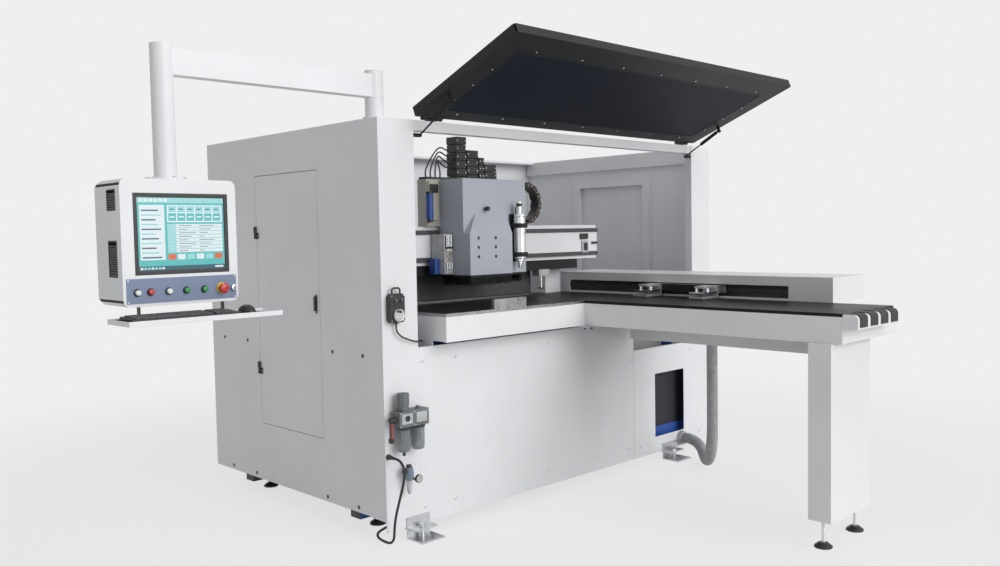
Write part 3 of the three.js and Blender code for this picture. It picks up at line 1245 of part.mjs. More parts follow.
// Filter and lubricator pair with bowls, caps and mounting bracket
function airFilter() {
  const y1 = -gap;
  const yc = y1 - filter.standoff - filter.depth / 2;
  const first = [filter.left, filter.left + filter.width];
  const second = [first[1] - filter.bodyGap, first[1] + filter.second];
  const centres = [first, second].map(([a, b]) => (a + b) / 2);
  const bodies = [first, second].map((x) =>
    block(x, around(yc, filter.depth / 2), [filter.bottom, filter.top]));
  const bowls = centres.map((x, i) =>
    turned([[0, filter.bottom - filter.bowlDepth], [filter.bowl * 0.8, filter.bottom - filter.bowlDepth],
    [filter.bowl, filter.bottom - filter.bowlDepth * 0.85], [filter.bowl, filter.bottom + gap],
      [0, filter.bottom + gap]], [x, yc])
    .add(bar('z', filter.drain, filter.bottom - filter.bowlDepth - filter.drainDepth * (1 - i),
      filter.bottom - filter.bowlDepth + gap, [x, yc], smallSides)));
  const caps = [
    bar('z', filter.cap, filter.top - gap, filter.top + filter.capRise, [centres[0], yc]),
    bar('z', filter.drain, filter.top - gap, filter.top + filter.capRise / 2, [centres[1], yc], smallSides),
  ];
  const bracket = block([first[0] + foldedEdge, second[1] - foldedEdge], [y1 - filter.standoff - gap, y1],
    [filter.bottom + foldedEdge, filter.top - foldedEdge]);
  const port = bar('x', filter.drain * 1.5, second[1] - gap, second[1] + filter.drain,
    [yc, (filter.bottom + filter.top) / 2], smallSides);
  const leverStub = bar('x', lever.hub * 0.6, first[0] - lever.hubLength * 0.4, first[0] + gap,
    [yc, lever.z], smallSides);
  return join(bodies, bowls, caps, bracket, port, leverStub);
}

const filterY = -gap - filter.standoff - filter.depth / 2;

// Regulator knob on the filter cap
function filterKnob() {
  const z0 = filter.top + filter.capRise + gap;
  const x = filter.left + filter.width / 2;
  const flutes = 12;
  const ring = Array.from({ length: flutes * 2 }, (_, i) => {
    const radius = filter.knob * (i % 2 ? 0.94 : 1);
    const angle = (2 * quarter * i) / flutes;
    return [x + radius * Math.cos(angle), filterY + radius * Math.sin(angle)];
  });
  return prism(ring, 'z', z0, z0 + filter.knobHeight);
}

// Red shut-off lever beside the filter
function shutoffLever() {
  const x1 = filter.left - lever.hubLength * 0.4 - gap;
  const hub = bar('x', lever.hub, x1 - lever.hubLength, x1, [filterY, lever.z]);
  const blade = block([x1 - lever.hubLength, x1 - lever.hubLength + lever.thickness],
    around(filterY, lever.width / 2), [lever.z - lever.length, lever.z]);
  const grip = block([x1 - lever.hubLength - lever.thickness / 2,
    x1 - lever.hubLength + lever.thickness * 1.5], around(filterY, lever.width * 0.7),
    [lever.z - lever.length, lever.z - lever.length + lever.grip]);
  return join(hub, blade, grip);
}

// Small regulator with gauge, ports and bowl
function smallRegulator() {
  const r = miniReg;
  const body = bar('z', r.body, r.z - r.height / 2, r.z + r.height / 2, [r.x, r.y]);
  const cap = bar('z', r.cap, r.z + r.height / 2 - gap, r.z + r.height / 2 + r.cap, [r.x, r.y]);
  const port = bar('x', r.port, r.x - r.body - r.port, r.x, [r.y, r.z + r.height / 4]);
  const gauge = bar('y', r.gauge, r.y - r.body - r.gaugeDepth, r.y - r.body / 2,
    [r.z - r.gaugeDrop, r.x + r.gauge * 1.7]);
  const stem = block([r.x, r.x + r.gauge * 1.7], around(r.y - r.body * 0.7, r.port / 3),
    around(r.z - r.gaugeDrop, r.port / 3));
  const bowl = turned([[0, r.z - r.height / 2 - r.bowlDepth],
    [r.bowl * 0.4, r.z - r.height / 2 - r.bowlDepth],
    [r.bowl, r.z - r.height / 2 - r.bowlDepth * 0.7], [r.bowl, r.z - r.height / 2 + gap],
      [0, r.z - r.height / 2 + gap]], [r.x, r.y]);
  const bracket = block(around(r.x, r.body / 2), [r.y, -gap], around(r.z, r.body / 2));
  return join(body, cap, port, gauge, stem, bowl, bracket);
}

// Cable gland on the column
function cableGland() {
  const nut = bar('y', gland.nut, -gland.nutLength, sheet / 2, [gland.z, gland.x], 6);
  const cone = bar('y', gland.tip, -gland.nutLength - gland.coneLength, -gland.nutLength,
    [gland.z, gland.x], roundSides, gland.radius);
  return join(nut, cone);
}

// Power cable: out of the gland, down the column and back under the machine to its coil
const glandTip = [gland.x, -gland.nutLength - gland.coneLength - gap, gland.z];
const onFloor = powerCable.radius + gap;
const powerRoute = [
  glandTip, [gland.x, -64, gland.z], [15, -94, 408], [14, -116, 387], [12, -125, 357], [9, -122, 320],
    [4, -110, 270], [1, -92, 214],
  [0, -72, 156], [2, -58, 112], [4, -50, 74], [6, -42, 38], [8, -21, 15], [9, 10, onFloor],
    [11, 50, onFloor],
  [27, 108, onFloor], [66, 160, onFloor], [122, 190, onFloor], [180, 214, onFloor], [222, 262, onFloor],
    [240, 330, onFloor],
  [244, 460, onFloor], [244, 700, onFloor], [244, 940, onFloor], [244, 1180, onFloor], [244, 1400, onFloor],
    [240, 1520, onFloor],
  [228, 1620, onFloor], [218, 1700, onFloor], [coil.x - coil.radius, 1740, onFloor],
    [coil.x - coil.radius, coil.y - gap, onFloor],
];

// Stations of the coil: inwards in the lower layer, a climb in a half turn, outwards in the upper one
function coilStations() {
  const pitch = 2 * powerCable.radius + coil.spare;
  const inwards = coil.turns / 2 - 0.25;
  const innerRadius = coil.radius - pitch * inwards;
  const total = 2 * inwards + 0.5;
  const at = (turn) => {
    const lower = Math.min(turn, inwards);
    const climb = Math.min(Math.max(turn - inwards, 0), 0.5) * 2;
    const upper = Math.max(turn - inwards - 0.5, 0);
    const radius = upper > 0 ? innerRadius + pitch * upper : coil.radius - pitch * lower;
    const angle = 2 * quarter - 4 * quarter * turn;
    return new THREE.Vector3(coil.x + radius * Math.cos(angle), coil.y + radius * Math.sin(angle),
      onFloor + pitch * climb);
  };
  const count = Math.round(total * coil.steps);
  const points = Array.from({ length: count + 1 }, (_, i) => at((total * i) / count));
  const last = points[count];
  const along = new THREE.Vector3(0, 1, 0);
  points[0].x = coil.x - coil.radius;
  return [...points, last.clone().addScaledVector(along, coil.tail / 2),
    last.clone().addScaledVector(along, coil.tail)];
}

// Wound coil of the spare cable behind the machine, one unbroken tube
function cableCoil() {
  const points = coilStations();
  const stations = points.map((centre, i) => {
    const before = points[Math.max(i - 1, 0)];
    const after = points[Math.min(i + 1, points.length - 1)];
    return { centre, tangent: i ? after.clone().sub(before).normalize() : new THREE.Vector3(0, 1, 0),
      radius: powerCable.radius };
  });
  let least = Infinity;
  points.forEach((a, i) => points.forEach((b, j) => {
    if (j - i > coil.steps / 2) least = Math.min(least, a.distanceTo(b));
  }));
  console.log('least gap in the coil', (least - 2 * powerCable.radius).toFixed(2));
  return ringSurface(pathRings(stations, coil.sides), false);
}

function powerPlug() {
  const end = coilStations().at(-1);
  const at = [end.z, end.x];
  const y0 = end.y + gap;
  const neck = bar('y', plug.neck, y0, y0 + plug.neck * 3, at, smallSides, plug.radius * 0.7);
  const body = bar('y', plug.radius, y0 + plug.neck * 3 - gap, y0 + plug.neck * 3 + plug.length, at,
    smallSides);
  const pins = [-1, 1].map((side) => bar('y', plug.pin, y0 + plug.neck * 3 + plug.length - gap,
    y0 + plug.neck * 3 + plug.length * 1.4,
    [at[0], at[1] + side * plug.radius / 2], smallSides));
  return join(neck, body, pins);
}

// Pendant cable: from the pendant down and round to the column edge
const pendantBottom = [pendant.left + pendant.width / 2, -gap - pendant.standoff - pendant.depth / 2,
  pendant.bottom - gap];
const pendantRoute = [
  pendantBottom, [66, pendantBottom[1], 1026], [70, -20, 1004], [92, -22, 980], [130, -24, 962],
    [166, -24, 950], [196, -23, 945],
  [218, -20, 943], [234, -9, 943], [240, 5, 943], [236, 19, 943], [226, 28, 943], [220, 30, 943],
    [cabinet.width + gap, 30, 943],
];

// Corrugated hose from under the table to its socket
const hoseRoute = [
  [hose.topX, hose.topY, table.top], [hose.topX, hose.topY, 960], [hose.topX, hose.topY, 820],
    [hose.topX, hose.topY, 680],
  [hose.topX, hose.topY, 540], [hose.topX, hose.topY, 420], [hose.topX, hose.topY, 320],
    [hose.topX + 7, hose.topY + 6, 251],
  [hose.topX + 27, hose.topY + 24, 186], [hose.topX + 59, hose.topY + 52, 130],
    [hose.topX + 100, hose.topY + 89, 88],
  [hose.topX + 148, hose.topY + 132, 61], [hose.topX + 200, hose.topY + 178, 52],
    [hose.x - 155, -282, hose.z - 53],
  [hose.x - 120, -252, hose.z - 47], [hose.x - 90, -226, hose.z - 39], [hose.x - 52, -185, hose.z - 26],
  [hose.x - 22, -142, hose.z - 13], [hose.x - 6, -100, hose.z - 4], [hose.x, -62, hose.z],
    [hose.x, -hose.socketLength - gap, hose.z],
];

// Ribs and bore of the corrugated hose along its route, with plain cuffs at both ends
function corrugatedHose() {
  const curve = new THREE.CatmullRomCurve3(hoseRoute.map((p) => new THREE.Vector3(...p)), false,
    'centripetal');
  const cuffShare = (2 * hose.radius) / curve.getLength();
  const station = (share, radius) =>
    ({ centre: curve.getPointAt(share), tangent: curve.getTangentAt(share).normalize(), radius });
  const outer = [station(0, hose.radius)];
  for (let i = 0; i < hose.ribs; i += 1) {
    const share = (k) => cuffShare + ((1 - 2 * cuffShare) * (i + k)) / hose.ribs;
    outer.push(station(share(0.25), hose.valley), station(share(0.75), hose.radius));
  }
  outer.push(station(1, hose.radius));
  const last = outer.length - 1;
  const inBore = (_, i) => i === 0 || i === last || i % 10 === 0;
  const rings = pathRings(outer, tubeSides);
  const borePlaces = outer.filter(inBore);
  const boreRings = rings.filter(inBore).map((ring, i) => ring.map((p) => {
    const { centre, radius } = borePlaces[i];
    return p.clone().sub(centre).multiplyScalar(hose.bore / radius).add(centre);
  }));
  return ringSurface([...rings, ...boreRings.reverse()], true);
}

addPiece('base_frame', baseFrame(), colours.blue, 0.5, 0);
addPiece('left_housing', leftHousing(), colours.white, 0.45, 0);
addPiece('electrics_plate', electricsPlate(), colours.grey, 0.6, 0);
addPiece('cabinet_door', doorLeaf(0, 1), colours.white, 0.45, 0);
addPiece('door_lock', lockLever(), colours.black, 0.5, 0);
addPiece('right_housing', rightHousing(), colours.white, 0.45, 0);
addPiece('right_door', doorLeaf(machine.width, -1), colours.white, 0.45, 0);
addPiece('header_beam', headerBeam(), colours.white, 0.45, 0);
addPiece('rear_panel', rearPanel(), colours.white, 0.45, 0);
addPiece('front_panel', frontCover(), colours.white, 0.45, 0);
addPiece('right_panel', rightCover(), colours.white, 0.45, 0);
addPiece('main_table', mainTable(), colours.tableTop, 0.35, 0);
addPiece('table_skirt', tableSkirt(), colours.white, 0.45, 0);
addPiece('infeed_top', infeedTop(), colours.tableTop, 0.35, 0);
addPiece('table_leg', tableLeg(), colours.white, 0.45, 0);
addPiece('gripper_beam', join(gripperCover(), gripperRail()), colours.white, 0.45, 0);
addPiece('gripper_carriage', gripperCarriage(), colours.black, 0.5, 0.3);
addPiece('gripper_jaw_front', gripperJaw(jawPlaces.front), colours.silver, 0.3, 0.9);
addPiece('gripper_jaw_rear', gripperJaw(jawPlaces.rear), colours.silver, 0.3, 0.9);
addPiece('gantry_beam', join(gantryBeam(), presserUnit()), colours.white, 0.45, 0);
addPiece('head_saddle', headSaddle(), colours.steel, 0.45, 0.6);
addPiece('head_cover', headCover(), colours.blueGrey, 0.5, 0.2);
addPiece('brush_skirt', brushSkirt(), colours.black, 0.9, 0);
addPiece('drill_block', drillBlock(), colours.steel, 0.4, 0.7);
spindlePlaces().forEach((place, i) => addPiece(`drill_spindle_${i + 1}`, drillSpindle(place), colours.silver, 0.3, 0.9));
addPiece('router_motor', routerMotor(), colours.silver, 0.3, 0.9);
addPiece('router_collet', routerCollet(), colours.steel, 0.3, 0.9);
addPiece('chain_loop', chainLoop(), colours.black, 0.6, 0);
addPiece('chain_tower', chainTower(), colours.black, 0.6, 0);
addPiece('lower_drill', lowerDrillUnit(), colours.steel, 0.4, 0.7);
addPiece('hood_frame', hoodFrame(), colours.black, 0.6, 0, hoodCentre, hoodTilt);
addPiece('hood_lining', hoodLining(), colours.navy, 0.6, 0, hoodCentre, hoodTilt);
[['left', strut.leftAt], ['right', strut.rightAt]].forEach(([side, x]) => {
  const place = [x, strutPivot.y, strutPivot.z];
  addPiece(`strut_rod_${side}`, strutRod(), colours.steel, 0.3, 0.9, place, strutTilt);
  addPiece(`strut_cylinder_${side}`, strutCylinder(), colours.black, 0.5, 0, place, strutTilt);
});
addPiece('boom_arm', boomArm(), colours.white, 0.45, 0);
addPiece('control_box', controlBox(), colours.white, 0.45, 0);
addPiece('screen', screenPanel(), colours.screen, 0.2, 0);
['white_left', 'red', 'white_right', 'green_left', 'green_right'].forEach((name, i) => {
  const colour = name.startsWith('white') ? colours.cream : colours[name.split('_')[0]];
  addPiece(`button_${name}`, pushButton(buttonPlaces()[i], button.radius, button.height), colour, 0.4, 0);
});
addPiece('emergency_stop', emergencyStop(), colours.red, 0.4, 0);
addPiece('key_switch', keySwitch(), colours.black, 0.4, 0.3);
addPiece('keyboard_tray', keyboardTray(), colours.white, 0.45, 0);
addPiece('keyboard', keyboardAndMouse(), colours.black, 0.6, 0);
addPiece('pendant_body', pendantBody(), colours.black, 0.5, 0);
addPiece('pendant_dial', pendantDial(), colours.silver, 0.3, 0.6);
addPiece('air_filter', airFilter(), colours.filterGrey, 0.5, 0);
addPiece('filter_knob', filterKnob(), colours.filterGrey, 0.5, 0);
addPiece('shutoff_lever', shutoffLever(), colours.red, 0.5, 0);
addPiece('small_regulator', smallRegulator(), colours.filterGrey, 0.5, 0);

addPiece('pendant_cable', tube(pendantRoute, pendantCable.radius, tubeSides, 24), colours.cable, 0.7, 0);
addPiece('power_cable', tube(powerRoute, powerCable.radius, tubeSides, 60), colours.cable, 0.7, 0);
addPiece('cable_coil', cableCoil(), colours.cable, 0.7, 0);
addPiece('power_plug', powerPlug(), colours.red, 0.5, 0);
addPiece('hose', corrugatedHose(), colours.hoseGrey, 0.7, 0);

// The origin stands on the floor under the middle of the machine without its loose cables.
const looseCables = ['pendant_cable', 'power_cable', 'cable_coil', 'power_plug', 'hose'];
const bounds = new THREE.Box3();
part.updateMatrixWorld(true);
part.children.filter((mesh) => !looseCables.includes(mesh.name)).forEach((mesh) =>
  bounds.expandByObject(mesh, true));
const middle = bounds.getCenter(new THREE.Vector3());
part.position.set(-middle.x, -middle.y, -bounds.min.z);

export default part;
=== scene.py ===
"""Looks of a CNC drilling machining centre: materials, fine pieces, cords, light and camera.

Pieces are drawn in the machine's own millimetres (X along the front, Y to the back, Z up from
the floor, origin at the left cabinet's front corner) and placed in the frame in metres.
"""

import json
import math
import random

import bmesh
import bpy
from mathutils import Matrix, Vector

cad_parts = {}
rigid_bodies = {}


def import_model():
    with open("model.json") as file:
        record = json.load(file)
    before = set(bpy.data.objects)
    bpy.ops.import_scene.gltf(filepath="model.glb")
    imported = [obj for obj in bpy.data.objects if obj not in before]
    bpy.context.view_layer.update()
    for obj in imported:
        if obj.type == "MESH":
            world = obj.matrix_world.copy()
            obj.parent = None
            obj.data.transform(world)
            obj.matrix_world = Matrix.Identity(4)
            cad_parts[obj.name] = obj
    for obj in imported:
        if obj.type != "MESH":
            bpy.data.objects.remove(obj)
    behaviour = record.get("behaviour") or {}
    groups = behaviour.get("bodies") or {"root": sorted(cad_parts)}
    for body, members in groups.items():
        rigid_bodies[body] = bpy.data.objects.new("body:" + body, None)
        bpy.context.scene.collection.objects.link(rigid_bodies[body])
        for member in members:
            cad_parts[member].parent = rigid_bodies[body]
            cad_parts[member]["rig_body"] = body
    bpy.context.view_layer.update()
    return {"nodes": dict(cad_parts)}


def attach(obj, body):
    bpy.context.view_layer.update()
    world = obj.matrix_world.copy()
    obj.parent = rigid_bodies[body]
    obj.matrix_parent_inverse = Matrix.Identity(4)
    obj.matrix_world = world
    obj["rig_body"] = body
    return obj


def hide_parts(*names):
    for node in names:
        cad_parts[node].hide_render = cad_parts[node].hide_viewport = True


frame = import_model()

MM = 0.001
OFFSET = (759.25, -4.15)
TO_FRAME = Matrix.Scale(MM, 4) @ Matrix.Translation((-OFFSET[0], -OFFSET[1], 0))
SHARP = math.radians(32)  # edges steeper than this stay hard in the shading
BEVELLED = math.radians(38)  # edges of a CAD form steeper than this are rounded
FLAT = math.radians(0.6)  # faces of a CAD form that differ by less are joined
JOINED = 2e-5  # metres within which a CAD form's corners are one
random.seed(7)


def place(x, y, z):
    """Machine millimetres to a point in the frame."""
    return TO_FRAME @ Vector((x, y, z))


# ---------------------------------------------------------------- camera

camera_place = (-2571.3, -3419.3, 1454.0)
camera_yaw, camera_pitch, camera_roll = (math.radians(a) for a in (44.34, 3.10, -1.037))
camera_lens = 33.03

camera_data = bpy.data.cameras.new("camera")
camera_data.sensor_width = 36
camera_data.sensor_fit = "HORIZONTAL"
camera_data.lens = camera_lens
camera_data.clip_end = 200
camera = bpy.data.objects.new("camera", camera_data)
bpy.context.scene.collection.objects.link(camera)
ahead = Vector((
    math.sin(camera_yaw) * math.cos(camera_pitch),
    math.cos(camera_yaw) * math.cos(camera_pitch),
    -math.sin(camera_pitch),
))
level = Vector((math.cos(camera_yaw), -math.sin(camera_yaw), 0))
above = level.cross(ahead)
right = level * math.cos(camera_roll) + above * math.sin(camera_roll)
up = above * math.cos(camera_roll) - level * math.sin(camera_roll)
turn = Matrix((right, up, -ahead)).transposed().to_4x4()
camera.matrix_world = Matrix.Translation(place(*camera_place)) @ turn
bpy.context.scene.camera = camera
bpy.context.scene.view_settings.view_transform = "Standard"


# ---------------------------------------------------------------- node materials


def feed(tree, slot, value):
    """A plain value, a colour, a socket or a Wire into a node's socket."""
    if isinstance(value, Wire):
        value = value.socket
    if isinstance(value, bpy.types.NodeSocket):
        tree.links.new(value, slot)
    elif isinstance(value, tuple) and len(value) == 3 and slot.type == "RGBA":
        slot.default_value = (*value, 1)
    else:
        slot.default_value = value


def add_node(tree, kind, settings, sockets, out=0):
    """An output of a new node: its settings come first, then its sockets by name or number."""
    node = tree.nodes.new("ShaderNode" + kind)
    for key, value in settings.items():
        setattr(node, key, value)
    for key, value in sockets.items():
        feed(tree, node.inputs[key], value)
    return node.outputs[out]


class Wire:
    """A socket of a node tree that takes plain arithmetic."""

    def __init__(self, finish, socket):
        self.finish, self.socket = finish, socket

    def math(self, kind, *others):
        return self.finish.node("Math", {"operation": kind}, dict(enumerate((self, *others))))

    def __add__(self, other):
        return self.math("ADD", other)

    def __sub__(self, other):
        return self.math("SUBTRACT", other)

    def __rsub__(self, other):
        return self.finish.node("Math", {"operation": "SUBTRACT"}, {0: other, 1: self})

    def __mul__(self, other):
        return self.math("MULTIPLY", other)

    __radd__ = __add__
    __rmul__ = __mul__

    def over(self, low, high):
        """A smooth step from 0 at low to 1 at high."""
        return self.finish.node("MapRange", {"interpolation_type": "SMOOTHSTEP"},
                                {"Value": self, "From Min": low, "From Max": high})


class Finish:
    """A procedural material, with its Principled shader and object coordinates."""

    def __init__(self, name, **constants):
        self.material = bpy.data.materials.new(name)
        self.material.use_nodes = True
        self.tree = self.material.node_tree
        self.shader = self.tree.nodes["Principled BSDF"]
        self.give(**constants)
        self.where = self.node("TexCoord", {}, {}, "Object")

    def node(self, kind, settings, sockets, out=0):
        return Wire(self, add_node(self.tree, kind, settings, sockets, out))

    def give(self, **values):
        for key, value in values.items():
            feed(self.tree, self.shader.inputs[key.replace("_", " ")], value)
        return self

    def stretched(self, x, y, z):
        return self.node("VectorMath", {"operation": "MULTIPLY"}, {0: self.where, 1: (x, y, z)})

    def noise(self, scale, detail=3, where=None, rough=0.55):
        return self.node("TexNoise", {}, {"Vector": where or self.where, "Scale": scale,
                                          "Detail": detail, "Roughness": rough}, "Fac")

    def axis(self, name):
        return self.node("SeparateXYZ", {}, {"Vector": self.where}, name)

    def attribute(self, name):
        return self.node("Attribute", {"attribute_name": name}, {}, "Fac")

    def mix(self, a, b, share):
        colour_a, colour_b, mixed = 6, 7, 2
        return self.node("Mix", {"data_type": "RGBA"},
                         {"Factor": share, colour_a: a, colour_b: b}, mixed)

    def bump(self, height, strength, distance):
        self.give(Normal=self.node("Bump", {}, {"Height": height, "Strength": strength,
                                                "Distance": distance}, "Normal"))
        return self


def shade(colour, by):
    """A colour made lighter or darker by a factor."""
    return tuple(min(1, c * by) for c in colour)


def paint(name, colour, rough=0.42, peel=0.12, grime=0.05, worn=1.25, grain=420, gloss=0.45):
    """Powder coat: orange peel, faint clouding, floor grime and lighter edges."""
    f = Finish(name, Specular_IOR_Level=gloss)
    cloud = f.noise(1.7, 4)
    fleck = f.noise(grain * 0.6, 2)
    tone = f.mix(shade(colour, 0.965), shade(colour, 1.03), cloud.over(0.3, 0.7))
    tone = f.mix(tone, shade(colour, 0.93), fleck.over(0.62, 0.8) * 0.35)
    low = 1 - f.axis("Z").over(0.0, 0.5)
    dirt = (low * f.noise(9, 5).over(0.42, 0.75) + f.noise(2.6, 6).over(0.6, 0.85) * 0.4) * grime
    tone = f.mix(tone, (0.30, 0.28, 0.25), dirt)
    edge = f.attribute("wear") * f.noise(60, 4).over(0.45, 0.62)
    tone = f.mix(tone, shade(colour, worn), edge * 0.6)
    f.give(Base_Color=tone, Roughness=cloud * 0.10 + (rough - 0.05) + dirt * 0.8)
    return f.bump(f.noise(grain, 2), peel, 0.0002).material


def metal(name, colour, rough=0.32, grain=(3, 3, 300), brushed=0.5, stain=0.25):
    """Bare or plated metal with its grain drawn along one direction."""
    f = Finish(name, Metallic=1.0)
    lines = f.noise(6, 5, f.stretched(*grain), 0.7)
    patch = f.noise(14, 4)
    tone = f.mix(shade(colour, 0.82), shade(colour, 1.08), lines.over(0.25, 0.75))
    tone = f.mix(tone, shade(colour, 0.55), patch.over(0.55, 0.8) * stain)
    tone = f.mix(tone, shade(colour, 1.3), f.attribute("wear") * 0.5)
    f.give(Base_Color=tone, Roughness=lines * 0.16 + patch * 0.10 + (rough - 0.12))
    return f.bump(lines, brushed * 0.2, 0.0001).material


def plastic(name, colour, rough=0.4, grain=900, depth=0.15, worn=1.5, coat=0.0):
    """Moulded plastic or rubber: spark-eroded grain, handling gloss and paler edges."""
    f = Finish(name, Coat_Weight=coat)
    cloud = f.noise(22, 3)
    tone = f.mix(shade(colour, 0.88), shade(colour, 1.12), cloud.over(0.3, 0.7))
    edge = f.attribute("wear") * f.noise(90, 3).over(0.4, 0.6)
    tone = f.mix(tone, shade(colour, worn), edge * 0.7)
    f.give(Base_Color=tone, Roughness=f.noise(40, 4) * 0.18 + (rough - 0.08))
    return f.bump(f.noise(grain, 2), depth, 0.0002).material


def laminate(name, colour):
    """Black phenolic table top: dull, with fine rub marks along the feed direction."""
    f = Finish(name, Specular_IOR_Level=0.1)
    rubs = f.noise(5, 6, f.stretched(60, 2.5, 1), 0.65)
    dust = f.noise(180, 3).over(0.6, 0.8)
    smear = f.noise(3.2, 5).over(0.4, 0.75)
    tone = f.mix(colour, shade(colour, 1.9), rubs.over(0.5, 0.78) * 0.6)
    tone = f.mix(tone, (0.16, 0.15, 0.14), dust * 0.10 + smear * 0.06)
    f.give(Base_Color=tone, Roughness=rubs * 0.16 + smear * 0.10 + 0.28)
    return f.bump(rubs, 0.05, 0.0002).material


def belt(name, colour):
    """Rubber belt with a fine diamond tread, its raised crests drawn lighter than its grooves, and
    dust patches.
    """
    f = Finish(name)
    x, y = f.axis("X") * 520, f.axis("Y") * 520
    tread = (x + y).math("SINE") * (x - y).math("SINE")
    # the tread's raised crests are drawn lighter than its grooves
    tone = f.mix(colour, shade(colour, 1.8), tread.over(0.3, 0.9) * 0.5)
    tone = f.mix(tone, (0.20, 0.19, 0.18), f.noise(30, 5).over(0.5, 0.8) * 0.18)
    f.give(Base_Color=tone, Roughness=f.noise(60, 3) * 0.2 + 0.5)
    return f.bump(tread, 0.5, 0.0004).material


def clear(name, colour, rough=0.08):
    """Clear moulded bowl with faint oil haze."""
    f = Finish(name, Transmission_Weight=0.85, IOR=1.45)
    haze = f.noise(38, 4)
    low = 1 - f.axis("Z").over(0.44, 0.52)
    f.give(Base_Color=f.mix(colour, shade(colour, 0.8), haze.over(0.3, 0.8) * 0.5 + low * 0.4),
           Roughness=haze * 0.14 + rough)
    return f.bump(haze, 0.05, 0.0002).material


def glow(name, colour, strength=0.55):
    """A lit patch of the screen under its glass."""
    f = Finish(name, Emission_Strength=strength, Roughness=0.25)
    rows = (f.axis("Z") * 9000).math("SINE").over(-1, 1)
    lit = f.mix(shade(colour, 0.93), colour, rows)
    f.give(Base_Color=f.mix(shade(colour, 0.4), shade(colour, 0.5), f.noise(30, 2)),
           Emission_Color=lit)
    return f.material


M = {
    "white": paint("white_powder_coat", (0.78, 0.79, 0.81), 0.42),
    "table_white": paint("table_powder_coat", (0.80, 0.81, 0.82), 0.38),
    "black": paint("black_structure_coat", (0.020, 0.022, 0.023), 0.5, 0.3, 0.02, 2.4, 700, 0.2),
    "navy": paint("navy_lining_coat", (0.011, 0.014, 0.026), 0.55, 0.2, 0.02, 1.8, 500, 0.12),
    "blue": paint("blue_frame_enamel", (0.022, 0.085, 0.36), 0.4, 0.25, 0.10, 1.8, 260),
    "blue_grey": paint("blue_grey_hammer_coat", (0.43, 0.455, 0.51), 0.4, 0.35, 0.03, 1.3, 650),
    "strip": paint("strip_coat", (0.19, 0.24, 0.36), 0.38, 0.15, 0.02, 1.5, 600),
    "grey": paint("grey_enamel", (0.33, 0.34, 0.35), 0.45, 0.2, 0.04, 1.3, 420),
    "beige": paint("motor_enamel", (0.42, 0.40, 0.36), 0.45, 0.2, 0.06, 1.3, 420),
    "steel": metal("zinc_plated_steel", (0.62, 0.63, 0.65), 0.36, (40, 40, 40), 0.3),
    "ground": metal("ground_steel", (0.60, 0.61, 0.62), 0.28, (4, 260, 4)),
    "cast": metal("cast_aluminium", (0.55, 0.56, 0.57), 0.5, (120, 120, 120), 1.2),
    "bright": metal("turned_bright_metal", (0.80, 0.81, 0.82), 0.2, (2, 2, 700)),
    "brass": metal("brass", (0.75, 0.55, 0.25), 0.3, (60, 60, 60)),
    "laminate": laminate("black_laminate", (0.011, 0.0115, 0.013)),
    "belt": belt("black_belt_rubber", (0.020, 0.021, 0.022)),
    "plastic": plastic("black_moulded_plastic", (0.020, 0.021, 0.022), 0.42),
    "dark_plastic": plastic("anthracite_plastic", (0.055, 0.058, 0.062), 0.5),
    "chain": plastic("chain_plastic", (0.018, 0.018, 0.019), 0.5, 500, 0.3, 2.2),
    # painted shade: near-black navy of the sheet that stands in for the shade behind the front
    # panel's window
    "shade_sheet": plastic("shade_sheet_rubber", (0.011, 0.013, 0.022), 0.65, 300, 0.1),
    "rubber": plastic("black_rubber", (0.026, 0.026, 0.027), 0.68, 600, 0.3, 1.3),
    "bristle": plastic("nylon_bristle", (0.018, 0.018, 0.020), 0.55, 1500, 0.2),
    "hose": plastic("grey_hose_plastic", (0.36, 0.37, 0.38), 0.5, 260, 0.2, 1.2),
    "filter_grey": plastic("filter_body_plastic", (0.13, 0.14, 0.15), 0.45, 700, 0.25),
    "light_grey": plastic("light_grey_plastic", (0.46, 0.47, 0.48), 0.4),
    "regulator": plastic("regulator_plastic", (0.17, 0.22, 0.29), 0.42),
    "cream": plastic("white_button_cap", (0.72, 0.74, 0.72), 0.25, 500, 0.03, 1.05, 0.4),
    "red": plastic("red_cap", (0.55, 0.022, 0.018), 0.28, 500, 0.04, 1.2, 0.4),
    "green": plastic("green_cap", (0.010, 0.28, 0.055), 0.28, 500, 0.04, 1.2, 0.4),
    "lever_red": plastic("red_lever_coat", (0.46, 0.025, 0.02), 0.38, 600, 0.12, 1.4),
    "yellow": plastic("yellow_ring", (0.75, 0.52, 0.03), 0.4),
    "blue_cap": plastic("blue_cylinder", (0.02, 0.065, 0.27), 0.4),
    "clear": clear("clear_bowl", (0.62, 0.65, 0.67)),
    "glass": plastic("screen_glass", (0.05, 0.06, 0.07), 0.12, 200, 0.0, 1, 0.6),
    "dark": plastic("shadow_gap", (0.008, 0.008, 0.009), 0.8),
    "teal": glow("screen_teal", (0.10, 0.50, 0.50)),
    "page": glow("screen_page", (0.74, 0.84, 0.86)),
    "cell": glow("screen_cell", (0.32, 0.68, 0.70)),
    "ink": glow("screen_ink", (0.06, 0.12, 0.22)),
    "alert": glow("screen_alert", (0.72, 0.14, 0.06)),
    "task": glow("screen_task_bar", (0.03, 0.12, 0.16)),
}


# ---------------------------------------------------------------- mesh building


